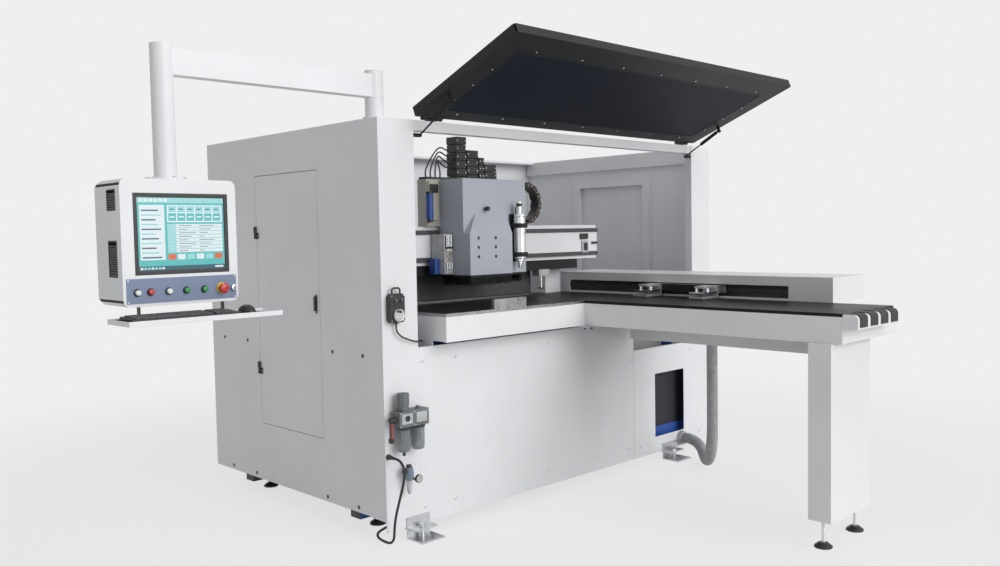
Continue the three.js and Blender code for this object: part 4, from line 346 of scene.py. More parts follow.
class Piece:
    """A mesh drawn in machine millimetres; done() smooths it and rides it on its body."""

    def __init__(self, name, body, *finishes):
        self.name, self.body, self.finishes = name, body, finishes
        self.bm = bmesh.new()
        self.wear = self.bm.faces.layers.float.new("wear")
        self.index = 0

    def use(self, index):
        """Later shapes take this material of the piece."""
        self.index = index
        return self

    def keep(self, verts):
        faces = {f for v in verts for f in v.link_faces}
        for f in faces:
            f.material_index = self.index
        return faces

    def rounded(self, edges, size, segments=2):
        made = bmesh.ops.bevel(self.bm, geom=list(edges), offset=size, segments=segments,
                               profile=0.5, affect="EDGES", material=-1, clamp_overlap=True)
        for f in made["faces"]:
            f[self.wear] = 1

    def block(self, x, y, z, edge=0.0, segments=2):
        size = Vector((x[1] - x[0], y[1] - y[0], z[1] - z[0]))
        centre = Vector((sum(x), sum(y), sum(z))) / 2
        matrix = Matrix.Translation(centre) @ Matrix.Diagonal((*size, 1))
        made = bmesh.ops.create_cube(self.bm, size=1, matrix=matrix)
        faces = self.keep(made["verts"])
        if edge:
            self.rounded({e for f in faces for e in f.edges}, edge, segments)
        return self

    def rod(self, axis, radius, span, centre, sides=24, edge=0.0, tip=None):
        """A round bar; its centre is given in x,y for z, in y,z for x and in x,z for y."""
        matrix = self.basis(axis, span, centre)
        made = bmesh.ops.create_cone(
            self.bm, cap_ends=True, cap_tris=False, segments=sides, radius1=radius,
            radius2=radius if tip is None else tip, depth=abs(span[1] - span[0]), matrix=matrix)
        faces = self.keep(made["verts"])
        if edge:
            rim = {e for f in faces if len(f.verts) == sides and sides != 4 for e in f.edges}
            self.rounded(rim, edge)
        return self

    @staticmethod
    def basis(axis, span, centre):
        middle = sum(span) / 2
        a, b = centre
        if axis == "x":
            at, turned = Vector((middle, a, b)), Matrix.Rotation(math.pi / 2, 4, "Y")
        elif axis == "y":
            at, turned = Vector((a, middle, b)), Matrix.Rotation(-math.pi / 2, 4, "X")
        else:
            at, turned = Vector((a, b, middle)), Matrix.Identity(4)
        if span[1] < span[0]:
            turned = turned @ Matrix.Rotation(math.pi, 4, "X")
        return Matrix.Translation(at) @ turned

    def lathe(self, axis, profile, centre, base=0.0, sides=28, closed=False):
        """A profile of (radius, distance) pairs turned about an axis through centre."""
        matrix = self.basis(axis, (base, base), centre)
        points = [self.bm.verts.new((r, 0, h)) for r, h in profile]
        edges = [self.bm.edges.new(pair) for pair in zip(points, points[1:])]
        if closed:
            edges.append(self.bm.edges.new((points[-1], points[0])))
        made = bmesh.ops.spin(self.bm, geom=points + edges, cent=(0, 0, 0), axis=(0, 0, 1),
                              angle=2 * math.pi, steps=sides, use_merge=True,
                              use_duplicate=False)
        verts = {v for e in made["geom_last"] if isinstance(e, bmesh.types.BMEdge)
                 for v in e.verts}
        seen, todo = set(points) | verts, list(set(points) | verts)
        while todo:
            for e in todo.pop().link_edges:
                for v in e.verts:
                    if v not in seen:
                        seen.add(v)
                        todo.append(v)
        bmesh.ops.remove_doubles(self.bm, verts=list(seen), dist=1e-4)
        seen = [v for v in seen if v.is_valid]
        faces = self.keep(seen)
        bmesh.ops.recalc_face_normals(self.bm, faces=list(faces))
        bmesh.ops.transform(self.bm, matrix=matrix, verts=seen)
        return self

    def prism(self, outline, axis, span, edge=0.0):
        """An outline of (a, b) points raised along an axis; a,b are as for rod()."""
        order = {"x": lambda a, b, c: (c, a, b), "y": lambda a, b, c: (a, c, b),
                 "z": lambda a, b, c: (a, b, c)}[axis]
        ring = [self.bm.verts.new(order(a, b, span[0])) for a, b in outline]
        face = self.bm.faces.new(ring)
        made = bmesh.ops.extrude_face_region(self.bm, geom=[face])
        top = [g for g in made["geom"] if isinstance(g, bmesh.types.BMVert)]
        shift = Vector(order(0, 0, span[1] - span[0]))
        bmesh.ops.translate(self.bm, verts=top, vec=shift)
        faces = self.keep(ring + top)
        bmesh.ops.recalc_face_normals(self.bm, faces=list(faces))
        if edge:
            self.rounded({e for f in faces for e in f.edges}, edge)
        return self

    def ball(self, centre, size, u=16, v=10):
        matrix = Matrix.Translation(centre) @ Matrix.Diagonal((*size, 1))
        made = bmesh.ops.create_uvsphere(self.bm, u_segments=u, v_segments=v, radius=1,
                                         matrix=matrix)
        self.keep(made["verts"])
        return self

    def sweep(self, points, radii, sides):
        """A tube through close points; radii is one number or one for each point."""
        if not hasattr(radii, "__len__"):
            radii = [radii] * len(points)
        tangents = [(points[min(i + 1, len(points) - 1)] - points[max(i - 1, 0)]).normalized()
                    for i in range(len(points))]
        normal = tangents[0].orthogonal().normalized()
        rings = []
        for point, tangent, radius in zip(points, tangents, radii):
            normal = (normal - tangent * normal.dot(tangent)).normalized()
            side = tangent.cross(normal)
            turns = [2 * math.pi * i / sides for i in range(sides)]
            rings.append([self.bm.verts.new(point + normal * (radius * math.cos(t))
                                            + side * (radius * math.sin(t))) for t in turns])
        for a, b in zip(rings, rings[1:]):
            for i in range(sides):
                j = (i + 1) % sides
                self.bm.faces.new((a[i], a[j], b[j], b[i])).material_index = self.index
        for ring in (rings[0][::-1], rings[-1]):
            self.bm.faces.new(ring).material_index = self.index
        return self

    def tick(self, centre, angle, reach, size):
        """A flat mark of a dial that faces the front, from one radius to another."""
        out = Matrix.Translation(((reach[0] + reach[1]) / 2, 0, 0))
        matrix = (Matrix.Translation(centre) @ Matrix.Rotation(-angle, 4, "Y") @ out
                  @ Matrix.Diagonal((reach[1] - reach[0], *size, 1)))
        self.keep(bmesh.ops.create_cube(self.bm, size=1, matrix=matrix)["verts"])
        return self

    def screw(self, axis, centre, face, radius=5.0, out=-1, height=2.4, socket=0.5):
        """A domed screw head with a recessed socket, standing on a face of the machine."""
        h = height * out
        self.lathe(axis, [(0, h * 0.55), (radius * socket, h * 0.55), (radius * socket, h),
                          (radius * 0.8, h * 0.94), (radius, h * 0.5), (radius, 0), (0, 0)],
                   centre, face, 12)
        return self

    def done(self, moved=None, replaces=(), sharp=SHARP):
        bm = self.bm
        if moved is not None:
            bmesh.ops.transform(bm, matrix=moved, verts=bm.verts)
        bmesh.ops.transform(bm, matrix=TO_FRAME, verts=bm.verts)
        return settle(bm, self.name, self.body, self.finishes, replaces, sharp)


def settle(bm, name, body, finishes, replaces=(), sharp=SHARP):
    """Smooth shading with sharp edges, materials, and the ride on a body."""
    for f in bm.faces:
        f.smooth = True
    for e in bm.edges:
        e.smooth = not (len(e.link_faces) == 2 and e.calc_face_angle(0) > sharp)
    mesh = bpy.data.meshes.new(name)
    bm.to_mesh(mesh)
    bm.free()
    for finish in finishes:
        mesh.materials.append(M[finish])
    obj = bpy.data.objects.new(name, mesh)
    bpy.context.scene.collection.objects.link(obj)
    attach(obj, body)
    even = obj.modifiers.new("even_shading", "WEIGHTED_NORMAL")
    even.mode, even.weight, even.keep_sharp = "FACE_AREA", 50, True
    if replaces:
        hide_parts(*replaces)
    return obj


def body_of(node):
    return frame["nodes"][node]["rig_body"]


def crisp(node, finish, edge, finishes=(), pick=lambda c, n: 0, sharp=SHARP):
    """A CAD node's own form with its mesh joined and its edges rounded.

    pick(face centre in machine mm, normal) gives the index of the face's material.
    """
    bm = bmesh.new()
    bm.from_mesh(frame["nodes"][node].data)
    bmesh.ops.remove_doubles(bm, verts=bm.verts, dist=JOINED)
    bmesh.ops.dissolve_limit(bm, angle_limit=FLAT, verts=bm.verts, edges=bm.edges,
                             use_dissolve_boundaries=False, delimit={"NORMAL"})
    wear = bm.faces.layers.float.new("wear")
    back = TO_FRAME.inverted()
    for f in bm.faces:
        f.material_index = pick(back @ f.calc_center_median(), f.normal)
    edges = [e for e in bm.edges if len(e.link_faces) == 2 and e.calc_face_angle(0) > BEVELLED]
    made = bmesh.ops.bevel(bm, geom=edges, offset=edge * MM, segments=2, profile=0.5,
                           affect="EDGES", material=-1, clamp_overlap=True)
    for f in made["faces"]:
        f[wear] = 1
    settle(bm, node + "_finish", body_of(node), (finish, *finishes), (node,), sharp)


def smooth_path(points, step=6.0):
    """A centripetal curve through points, sampled about every step millimetres."""
    p = [Vector(q) for q in points]
    p = [p[0] * 2 - p[1], *p, p[-1] * 2 - p[-2]]
    out = []
    for i in range(1, len(p) - 2):
        knots = [0.0]
        for a, b in zip(p[i - 1:i + 2], p[i:i + 3]):
            knots.append(knots[-1] + max((b - a).length, 1e-6) ** 0.5)
        t0, t1, t2, t3 = knots
        count = max(2, round((p[i + 1] - p[i]).length / step))
        for k in range(count):
            t = t1 + (t2 - t1) * k / count
            a1 = p[i - 1] * ((t1 - t) / (t1 - t0)) + p[i] * ((t - t0) / (t1 - t0))
            a2 = p[i] * ((t2 - t) / (t2 - t1)) + p[i + 1] * ((t - t1) / (t2 - t1))
            a3 = p[i + 1] * ((t3 - t) / (t3 - t2)) + p[i + 2] * ((t - t2) / (t3 - t2))
            b1 = a1 * ((t2 - t) / (t2 - t0)) + a2 * ((t - t0) / (t2 - t0))
            b2 = a2 * ((t3 - t) / (t3 - t1)) + a3 * ((t - t1) / (t3 - t1))
            out.append(b1 * ((t2 - t) / (t2 - t1)) + b2 * ((t - t1) / (t2 - t1)))
    out.append(p[-2])
    return out


def round_at(centre, radius, angle):
    """The point of a circle at an angle."""
    return centre[0] + radius * math.cos(angle), centre[1] + radius * math.sin(angle)


def path_length(points):
    return sum((b - a).length for a, b in zip(points, points[1:]))


# ---------------------------------------------------------------- cords

cable_radius = 6.0
cable_floor = 6.3  # height of its centre where it lies on the floor
power_route = [
    (15, -42.3, 416), (15, -64, 416), (15, -94, 408), (14, -116, 387), (12, -125, 357),
    (9, -122, 320), (4, -110, 270), (1, -92, 214), (0, -72, 156), (2, -58, 112), (4, -50, 74),
    (6, -42, 38), (8, -21, 15), (9, 10, cable_floor), (11, 50, cable_floor),
    (27, 108, cable_floor), (66, 160, cable_floor), (122, 190, cable_floor),
    (180, 214, cable_floor), (222, 262, cable_floor), (240, 330, cable_floor),
    (244, 460, cable_floor), (244, 700, cable_floor), (244, 940, cable_floor),
    (244, 1180, cable_floor), (244, 1400, cable_floor), (240, 1520, cable_floor),
    (228, 1620, cable_floor), (218, 1700, cable_floor), (216, 1740, cable_floor),
    (216, 1779.7, cable_floor),
]
coil_centre, coil_radius, coil_pitch, coil_inward, coil_tail = (300, 1780), 84, 14.4, 1.75, 66


def coil_path(steps=48):
    """Two inward turns in the lower layer, a climb, and outward turns in the upper one."""
    inner = coil_radius - coil_pitch * coil_inward
    total = 2 * coil_inward + 0.5
    points = []
    count = round(total * steps)
    for i in range(count + 1):
        t = total * i / count
        climb = min(max(t - coil_inward, 0), 0.5) * 2
        out = max(t - coil_inward - 0.5, 0)
        inward = coil_radius - coil_pitch * min(t, coil_inward)
        radius = inner + coil_pitch * out if out > 0 else inward
        spot = round_at(coil_centre, radius, math.pi - 2 * math.pi * t)
        points.append(Vector((*spot, cable_floor + coil_pitch * climb)))
    last = points[-1]
    return points + [last + Vector((0, coil_tail * k / 6, 0)) for k in range(1, 7)]


def make_power_cable():
    """The power cable with its coil, its plug and the gland's bend relief."""
    line = [Vector((p.x, p.y, max(p.z, cable_floor))) for p in smooth_path(power_route)]
    line += coil_path()[1:]
    cable = Piece("power_lead", "machine", "rubber")
    cable.sweep(line, cable_radius, 14)
    lead = cable.done(replaces=("power_cable", "cable_coil"))
    end = line[-1]
    plug = Piece("power_lead_plug", "machine", "plastic", "bright")
    y = end.y + 0.3
    plug.lathe("y", [(0, 0), (7, 0), (7.6, 3), (7.6, 6), (9, 8), (9, 12), (10.4, 14), (10.4, 18),
                     (12, 20), (12, 24), (17, 27), (19, 32), (19, 78), (17.4, 80), (17.4, 86),
                     (0, 86)], (end.x, end.z), y, 32)
    for k in range(8):
        plug.block((end.x - 2 + k % 2, end.x + 2), (y + 34 + k * 4.6, y + 36.4 + k * 4.6),
                   (end.z + 17.6, end.z + 18.9), 0.4)
    plug.use(1)
    for side in (-1, 1):
        plug.rod("y", 3.4, (y + 86, y + 111), (end.x + side * 9.5, end.z), 16, 1)
    plug_piece = plug.done(replaces=("power_plug",))
    relief = Piece("power_lead_relief", "machine", "plastic")
    x, z = power_route[0][0], power_route[0][2]
    relief.lathe("y", [(0, 0), (13.2, 0), (13.2, -12), (11.4, -13), (11.2, -16), (9.8, -17),
                       (10.2, -20), (9.0, -21), (9.4, -24), (8.4, -25), (8.8, -28), (7.8, -29),
                       (8.2, -32), (7.4, -34), (7.4, -42), (0, -42)], (x, z), 0, 24)
    relief.done()
    path_length(line) * MM


pendant_route = [
    (66, -20.3, 1045.7), (66, -20.3, 1026), (70, -20, 1004), (92, -22, 980), (130, -24, 962),
    (166, -24, 950), (196, -23, 945), (218, -20, 943), (234, -9, 943), (240, 5, 943),
    (236, 19, 943), (226, 28, 943), (220, 30, 943), (212.3, 30, 943),
]


def make_pendant_cable():
    line = smooth_path(pendant_route, 4)
    cable = Piece("pendant_lead", "machine", "rubber")
    cable.sweep(line, 4, 14)
    lead = cable.done(replaces=("pendant_cable",))
    path_length(line) * MM


hose_radius, hose_rib, hose_pitch, hose_cuff = 33.0, 1.8, 10.4, 66.0
hose_route = [
    (2000, -490, 1072), (2000, -490, 960), (2000, -490, 820), (2000, -490, 680),
    (2000, -490, 540), (2000, -490, 420), (2000, -490, 320), (2007, -484, 251),
    (2027, -466, 186), (2059, -438, 130), (2100, -401, 88), (2148, -358, 61), (2200, -312, 52),
    (2235, -282, 55), (2270, -252, 61), (2300, -226, 69), (2338, -185, 82), (2368, -142, 95),
    (2384, -100, 104), (2390, -62, 108), (2390, -26.3, 108),
]


def make_hose():
    """The suction hose: smooth cuffs, and corrugations between them."""
    line = smooth_path(hose_route, hose_pitch / 4)
    length = path_length(line)
    radii, run = [], 0.0
    for i, p in enumerate(line):
        run += (p - line[i - 1]).length if i else 0
        if hose_cuff <= run <= length - hose_cuff:
            wave = math.cos(2 * math.pi * (run - hose_cuff) / hose_pitch)
            radii.append(hose_radius - hose_rib + hose_rib * wave)
        else:
            radii.append(hose_radius)
    tube = Piece("suction_hose", "machine", "hose")
    tube.sweep(line, radii, 28)
    hose = tube.done(replaces=("hose",), sharp=math.radians(75))


make_power_cable()
make_pendant_cable()
make_hose()


# ---------------------------------------------------------------- carried-over CAD forms


def near(value, *marks, by=40):
    return any(abs(value - mark) < by for mark in marks)


def gantry_face(c, n):
    """White beam, dark rails, black lower channel, and the presser with its bright rod."""
    if near(c.x, 1560, by=47) and c.z < 1228.2 and c.y < 477:
        return 2 if c.z > 1187.9 else 4 if c.z < 1118.1 else 3
    if c.z < 1284.9:
        return 5
    return 1 if c.y < 415.9 and not 1331 < c.z < 1451 else 0


HINGE_HEIGHTS = (738, 1480)

crisp("base_frame", "blue", 1.4, finishes=("steel", "plastic", "white"),
      pick=lambda c, n: 1 if c.y < 254 and c.z < 120 else
      2 if c.z < 30 or c.x < 212 and c.z < 140 else 1 if c.z < 59 else 3 if c.z > 985 else 0)
crisp("left_housing", "white", 1.4, finishes=("plastic", "black"),
      pick=lambda c, n: 1 if c.x < -0.4 and near(c.z, *HINGE_HEIGHTS) or c.y < -0.4 and c.z < 500
      else 2 if c.x > 212.4 else 0)
crisp("right_housing", "white", 1.4, finishes=("plastic", "black"),
      pick=lambda c, n: 1 if c.x > 2738.4 else 2 if c.x < 2531.6 and c.z > 1850 else 0)
crisp("electrics_plate", "steel", 0.6, finishes=("dark_plastic", "light_grey"),
      pick=lambda c, n: 0 if c.x > 171.9 else 1 if c.z % 380 > 180 else 2)
crisp("cabinet_door", "white", 1.2, finishes=("plastic",),
      pick=lambda c, n: 1 if c.x < -0.4 else 0)
crisp("door_lock", "plastic", 1.2)
crisp("right_door", "white", 1.2, finishes=("plastic",),
      pick=lambda c, n: 1 if c.x > 2738.4 else 0)
crisp("header_beam", "white", 1.6, finishes=("black",),
      pick=lambda c, n: 1 if c.z > 2000.4 else 0)
crisp("rear_panel", "white", 1.2)
crisp("front_panel", "white", 1.0)
crisp("right_panel", "white", 1.0, finishes=("light_grey",),
      pick=lambda c, n: 1 if c.y < -0.4 else 0)
crisp("main_table", "laminate", 1.0, finishes=("grey", "ground"),
      pick=lambda c, n: 2 if c.z > 1072.4 or c.y < -104.4 else 1 if c.z < 1056.6 else 0)
crisp("table_skirt", "table_white", 1.2)
crisp("infeed_top", "laminate", 0.8, finishes=("belt",),
      pick=lambda c, n: 1 if c.y < -1590.2 or c.z > 1072.2 else 0)
crisp("table_leg", "table_white", 1.2, finishes=("plastic", "steel"),
      pick=lambda c, n: 0 if c.z > 124.5 else 1 if c.z < 40 else 2)
crisp("gripper_beam", "table_white", 1.6, finishes=("dark_plastic",),
      pick=lambda c, n: 1 if 1924.5 < c.x < 1950 and -1270 < c.y < 545 else 0)
crisp("gripper_carriage", "cast", 1.0, finishes=("black",),
      pick=lambda c, n: 1 if 1838 < c.x < 1862 and c.z > 1098 else 0)
for side in ("front", "rear"):
    crisp(f"gripper_jaw_{side}", "bright", 0.8)
crisp("gantry_beam", "white", 1.4,
      finishes=("dark_plastic", "light_grey", "bright", "plastic", "black"), pick=gantry_face)
crisp("head_saddle", "cast", 1.2, finishes=("beige", "light_grey"),
      pick=lambda c, n: 1 if c.z > 1512 else 2 if c.x < 701.9 and c.z < 1454.9 else 0)
crisp("head_cover", "blue_grey", 2.4, sharp=math.radians(15))
crisp("drill_block", "cast", 1.4)
for number in (1, 2):
    crisp(f"drill_spindle_{number}", "bright", 0.5)
crisp("router_collet", "bright", 0.6)
crisp("lower_drill", "cast", 1.4, finishes=("bright",),
      pick=lambda c, n: 1 if c.z > 1054.5 else 0)
crisp("hood_frame", "black", 2.2)
crisp("hood_lining", "navy", 0.8)
for side in ("left", "right"):
    crisp(f"strut_rod_{side}", "black", 0.4)
    crisp(f"strut_cylinder_{side}", "black", 0.6)
crisp("boom_arm", "white", 3.0)
crisp("control_box", "white", 3.5, finishes=("strip", "dark", "plastic"),
      pick=lambda c, n: 1 if c.y < -18.4 and c.z > 1210 else
      3 if c.z < 1201.9 else
      2 if c.x < -1195.4 and n.x < -0.9 and c.x > -1198.5 else 0)
crisp("keyboard_tray", "white", 1.6)
crisp("filter_knob", "filter_grey", 1.2)
crisp("shutoff_lever", "lever_red", 1.4, finishes=("plastic",),
      pick=lambda c, n: 0 if 514 < c.z < 579 else 1)

# ---------------------------------------------------------------- pieces of the hood

hood_width, hood_length, hood_border, hood_rear_border = 2330, 760, 140, 95
hood_hinge, hood_tilt = (1370, -2, 2010), math.radians(-22)
hood_moved = Matrix.Translation(hood_hinge) @ Matrix.Rotation(hood_tilt, 4, "X")


def hood_details():
    """Screws round the lining and its seam, drawn on the level hood."""
    half, inset = hood_width / 2, 26
    screws = Piece("hood_screws", "hood", "bright")
    columns, first = 7, hood_border + 90
    for i in range(columns):
        x = -half + first + i * (hood_width - 2 * first) / (columns - 1)
        screws.screw("z", (x, -hood_rear_border + inset), 0, 5.5, height=2.2)
        screws.screw("z", (x, -hood_length + hood_border - inset), 0, 4.5, height=1.8)
    for side in (-1, 1):
        for y in (-190, -330, -470):
            screws.screw("z", (side * (half - hood_border + inset), y), 0, 4.5, height=1.8)
    screws.done(hood_moved)
    seam = Piece("hood_lining_seam", "hood", "black")
    wide, deep = 6, (-1.6, 0.4)
    x0, y0, y1 = half - hood_border, -hood_length + hood_border, -hood_rear_border
    for side in (-1, 1):
        seam.block(sorted((side * x0, side * (x0 + wide))), (y0 - wide, y1 + wide), deep, 0.6)
    for y in (y0 - wide, y1):
        seam.block((-x0 + 0.2, x0 - 0.2), (y, y + wide), deep, 0.6)
    seam.done(hood_moved)


hood_details()

# ---------------------------------------------------------------- drill head

nose_front, head_front, head_left, head_right, nose_right = 150, 200, 702, 1175, 1018


def head_details():
    """Screws, knob, hole rings and the fold line of the head's cover."""
    trim = Piece("head_cover_fixings", "head", "blue_grey", "plastic", "bright", "dark")
    trim.use(2)
    inset, row = 22, 1250
    for i in range(5):
        x = head_left + inset + i * (nose_right - head_left - 2 * inset) / 4
        trim.screw("y", (x, row), nose_front, 4, height=1.8)
    for z in (1300, 1410):
        for x in (head_left + 16, nose_right - 16):
            trim.screw("y", (x, z), nose_front, 3.6, height=1.6)
    for x in (head_left + 18, head_right - 18):
        for z in (1610, 1730):
            trim.screw("y", (x, z), head_front, 3.6, height=1.6)
    trim.use(1)
    trim.lathe("y", [(0, -30), (11, -30), (13, -27), (13, -12), (7, -9), (7, 0), (0, 0)],
               (862, 1588), head_front, 20)
    trim.use(3)
    for x in (764, 891):
        for z in (1431, 1381, 1331):
            trim.lathe("y", [(5.2, -0.5), (8.2, -0.5), (8.5, -0.1), (8.5, 0.2), (5.2, 0.2)],
                       (x, z), nose_front, 20, closed=True)
    trim.use(0)
    trim.block((head_left + 3, nose_right - 3), (nose_front - 0.9, nose_front), (1272, 1274), 0.4)
    trim.done()


def side_unit():
    """Drilling unit on the head's left side: cylinders, fittings, drive and its hoses."""
    unit = Piece("side_drill_unit", "head", "light_grey", "bright", "plastic", "brass", "blue_cap")
    unit.use(2).block((650, 697), (288, 292), (1392, 1448), 1)
    for x in (656, 667, 678, 689):
        unit.use(1).rod("z", 4.2, (1362, 1451), (x, 284), 14, 0.8)
        unit.use(2).rod("z", 6.4, (1376, 1388), (x, 284), 14, 0.8)
    unit.use(3)
    for x, z in ((660, 1340), (682, 1348), (671, 1318)):
        unit.rod("y", 4, (281, 292), (x, z), 12, 0.6)
    unit.use(0).block((648, 698), (286, 292), (1244, 1262), 1)
    unit.use(1)
    for x in (657, 673, 689):
        unit.rod("z", 5, (1264, 1304), (x, 283), 14, 0.8)
        unit.screw("y", (x, 1253), 286, 2.6, height=1.2)
    unit.use(4).block((612, 643.6), (332, 384), (1240, 1324), 3)
    cylinder = (612, 366)
    unit.rod("z", 19, (1533, 1671), cylinder, 28, 2)
    unit.use(2).rod("z", 20, (1671, 1684), cylinder, 28, 2)
    unit.rod("z", 16, (1520, 1533), cylinder, 28, 2)
    unit.done()
    drive = Piece("head_drives", "head", "beige", "plastic", "bright")
    for x, top in ((650, 1741), (742, 1700)):
        drive.use(0).block((x - 34, x + 34), (376, 388.4), (1530, top), 2)
        drive.use(1).block((x - 30, x + 30), (371, 376), (top - 62, top - 16), 2)
        drive.use(2)
        for side in (-26, 26):
            drive.screw("y", (x + side, 1540), 376, 3, height=1.4)
    drive.use(1).block((616, 816), (396, 460), (1752, 1766), 2)
    drive.done()
    hoses = Piece("head_hoses", "head", "rubber")
    for k in range(4):
        start = Vector((650 + 34 * k, 440, 1764))
        end = Vector((866, 452 + 14 * k, 1900 - 26 * k))
        bulge = Vector((-30 - 22 * k, -20 + 8 * k, 190 - 18 * k))
        line = smooth_path([start, start + Vector((0, 0, 40)), (start + end) / 2 + bulge * 0.5,
                            end + Vector((-46, 0, 18)), end], 8)
        hoses.sweep(line, 4.2, 8)
    hoses.done()


def gantry_fittings():
    """Terminal boxes and a bracket at the gantry beam's right end."""
    parts = Piece("gantry_fittings", "machine", "plastic", "light_grey", "bright")
    parts.use(0).block((1885, 1955), (394, 408), (1408, 1444), 3)
    parts.use(1).block((1900, 1962), (398, 408), (1322, 1398), 3)
    parts.use(0).block((1916, 1946), (393, 398), (1336, 1384), 1.6)
    parts.block((1998, 2052), (396, 408), (1376, 1390), 3)
    parts.use(2)
    for x, z in ((1908, 1330), (1954, 1330), (1908, 1390), (1954, 1390)):
        parts.screw("y", (x, z), 398, 3, height=1.4)
    parts.done()


def router():
    """The router: turned body with its bore, two clamps on a back plate, bolts and nozzle."""
    body = Piece("router_spindle", "router", "bright", "black", "steel", "plastic")
    x, y, bottom, top, radius = 1078, 152, 1296, 1560, 33
    body.lathe("z", [(0, 40), (5.6, 40), (5.6, 0), (20, 0), (21, 1), (21, 7), (24, 8), (24, 14),
                     (30, 15), (radius, 18), (radius, 66), (radius - 1.2, 67),
                     (radius - 1.2, 69), (radius, 70), (radius, 150), (radius - 1.4, 151.5),
                     (radius - 1.4, 154), (radius, 155.5), (radius, 238), (radius - 2, 242),
                     (radius - 2, 246), (radius, 249), (radius, 258), (27, 264), (15, 264),
                     (14, 266), (14, 330), (10, 335), (0, 335)], (x, y), bottom, 40)
    body.use(1)
    clamp, back = 26, 199.7
    for z in (1322, 1482):
        body.rod("z", radius + 11.6, (z, z + clamp), (x, y), 40, 2)
        body.block((x - radius, x + radius), (y, back), (z, z + clamp), 1.5)
        body.block((x - 9, x + 9), (y - 44, y - radius), (z + 1, z + clamp - 1), 1.2)
    body.block((x - radius, x + radius), (back - 12, back), (bottom, top), 1.2)
    body.use(2)
    for z in (1328, 1342, 1488, 1502):
        body.rod("x", 3, (x - 14, x + 14), (y - 38.5, z), 10, 0.5)
    body.use(3)
    body.rod("z", 16.5, (1600, 1618), (x, y), 24, 1.5)
    for angle in (0.6, 2.3):
        body.rod("z", 3.2, (top, 1598), round_at((x, y), 20, angle), 10)
    body.done(replaces=("router_motor",))


def bristles():
    """Four rows of bristles on three sides of the head, under a closed black frame."""
    top, back = 1233.7, 385.4
    rows, row_pitch, pitch, longest, frame_wide = 4, 6.4, 4.2, 58, 27
    skirt = Piece("brush_bristles", "head", "bristle", "black")
    runs = [((head_left + 6, nose_front + 6), (nose_right - 6, nose_front + 6), (0, 1)),
            ((head_left + 6, nose_front + 6), (head_left + 6, back - 6), (1, 0)),
            ((head_right - 6, head_front + frame_wide), (head_right - 6, back - 6), (-1, 0))]
    for (x0, y0), (x1, y1), inward in runs:
        length = math.hypot(x1 - x0, y1 - y0)
        for row in range(rows):
            count = int(length / pitch)
            for i in range(count):
                s = (i + random.random()) / count
                x = x0 + (x1 - x0) * s + inward[0] * row * row_pitch
                y = y0 + (y1 - y0) * s + inward[1] * row * row_pitch
                clump = 5.0 * math.sin(i * 0.9 + row)
                lean = Vector((random.uniform(-3, 3), random.uniform(-3, 3), 0))
                fall = longest * random.uniform(0.86, 1.0)
                a, b = Vector((x, y, top - 11)), Vector((x, y, top - fall)) + lean
                b.x += clump * abs(inward[1]) * 0.5
                b.y += clump * abs(inward[0]) * 0.5
                b.x = min(max(b.x, head_left + 2), head_right - 2)
                b.y = min(max(b.y, nose_front + 1), back - 1)
                skirt.sweep([a, (a + b) / 2 + lean * 0.2, b], [1.7, 1.4, 0.5], 3)
    skirt.use(1)
    z = (top - 12, top)
    inner_left, inner_right = head_left + frame_wide, head_right - frame_wide
    for xs, ys in (((head_left, nose_right), (nose_front, nose_front + frame_wide)),
                   ((head_left, inner_left), (nose_front + frame_wide, back)),
                   ((inner_right, head_right), (head_front, back)),
                   ((nose_right - frame_wide, inner_right), (head_front, head_front + frame_wide)),
                   ((inner_left, inner_right), (back - frame_wide, back))):
        skirt.block(xs, ys, z, 0.8)
    skirt.done(replaces=("brush_skirt",))


def chain_ring():
    """Drag chain bent round in a half circle, two short straights, and the hoses inside it."""
    ring = Piece("chain_loop_links", "head", "chain", "brass", "red", "dark_plastic")
    centre, outer, inner, y0, y1 = (1228, 1624), 119, 87, 231, 293
    pin_circle, count = (outer + inner) / 2, 12
    for i in range(count):
        start = -math.pi / 2 + math.pi * i / count
        span = math.pi / count
        wide = (y0, y1) if i % 2 else (y0 + 5, y1 - 5)
        outline = [round_at(centre, r, start + span * t)
                   for r, ts in ((outer - 1.5, (-0.06, 0.25, 0.5, 0.75, 1.06)),
                                 (inner + 1.5, (1.06, 0.75, 0.5, 0.25, -0.06))) for t in ts]
        ring.use(0).prism(outline, "y", wide, 1.2)
        pin = round_at(centre, pin_circle, start)
        ring.rod("y", 8, (y0 + 0.5, y1 - 0.5), pin, 14, 1)
        rivet = round_at(centre, pin_circle, start + span * 0.5)
        ring.use(1 if i % 3 else 2).rod("y", 3.4, (y0 - 0.4, y0 + 1), rivet, 12, 0.3)
    ring.use(0)
    for z0, z1 in ((centre[1] - outer, centre[1] - inner), (centre[1] + inner, centre[1] + outer)):
        for k in range(2):
            x0 = head_right + 0.3 + k * 26.3
            inset = 4 if k % 2 else 0
            ring.block((x0 + 0.6, x0 + 25.8), (y0 + inset, y1 - inset), (z0 + 1.5, z1 - 1.5), 1.5)
            ring.rod("y", 8, (y0 + 0.5, y1 - 0.5), (x0 + 25, (z0 + z1) / 2), 14, 1)
    ring.use(3)
    for k in range(4):
        r = 94 + k * 6.2
        arc = []
        for j in range(23):
            x, z = round_at(centre, r, math.radians(-88 + 8 * j))
            arc.append(Vector((x, 250 + k * 7, z)))
        ring.sweep(arc, 2.6, 8)
    ring.done(replaces=("chain_loop",))


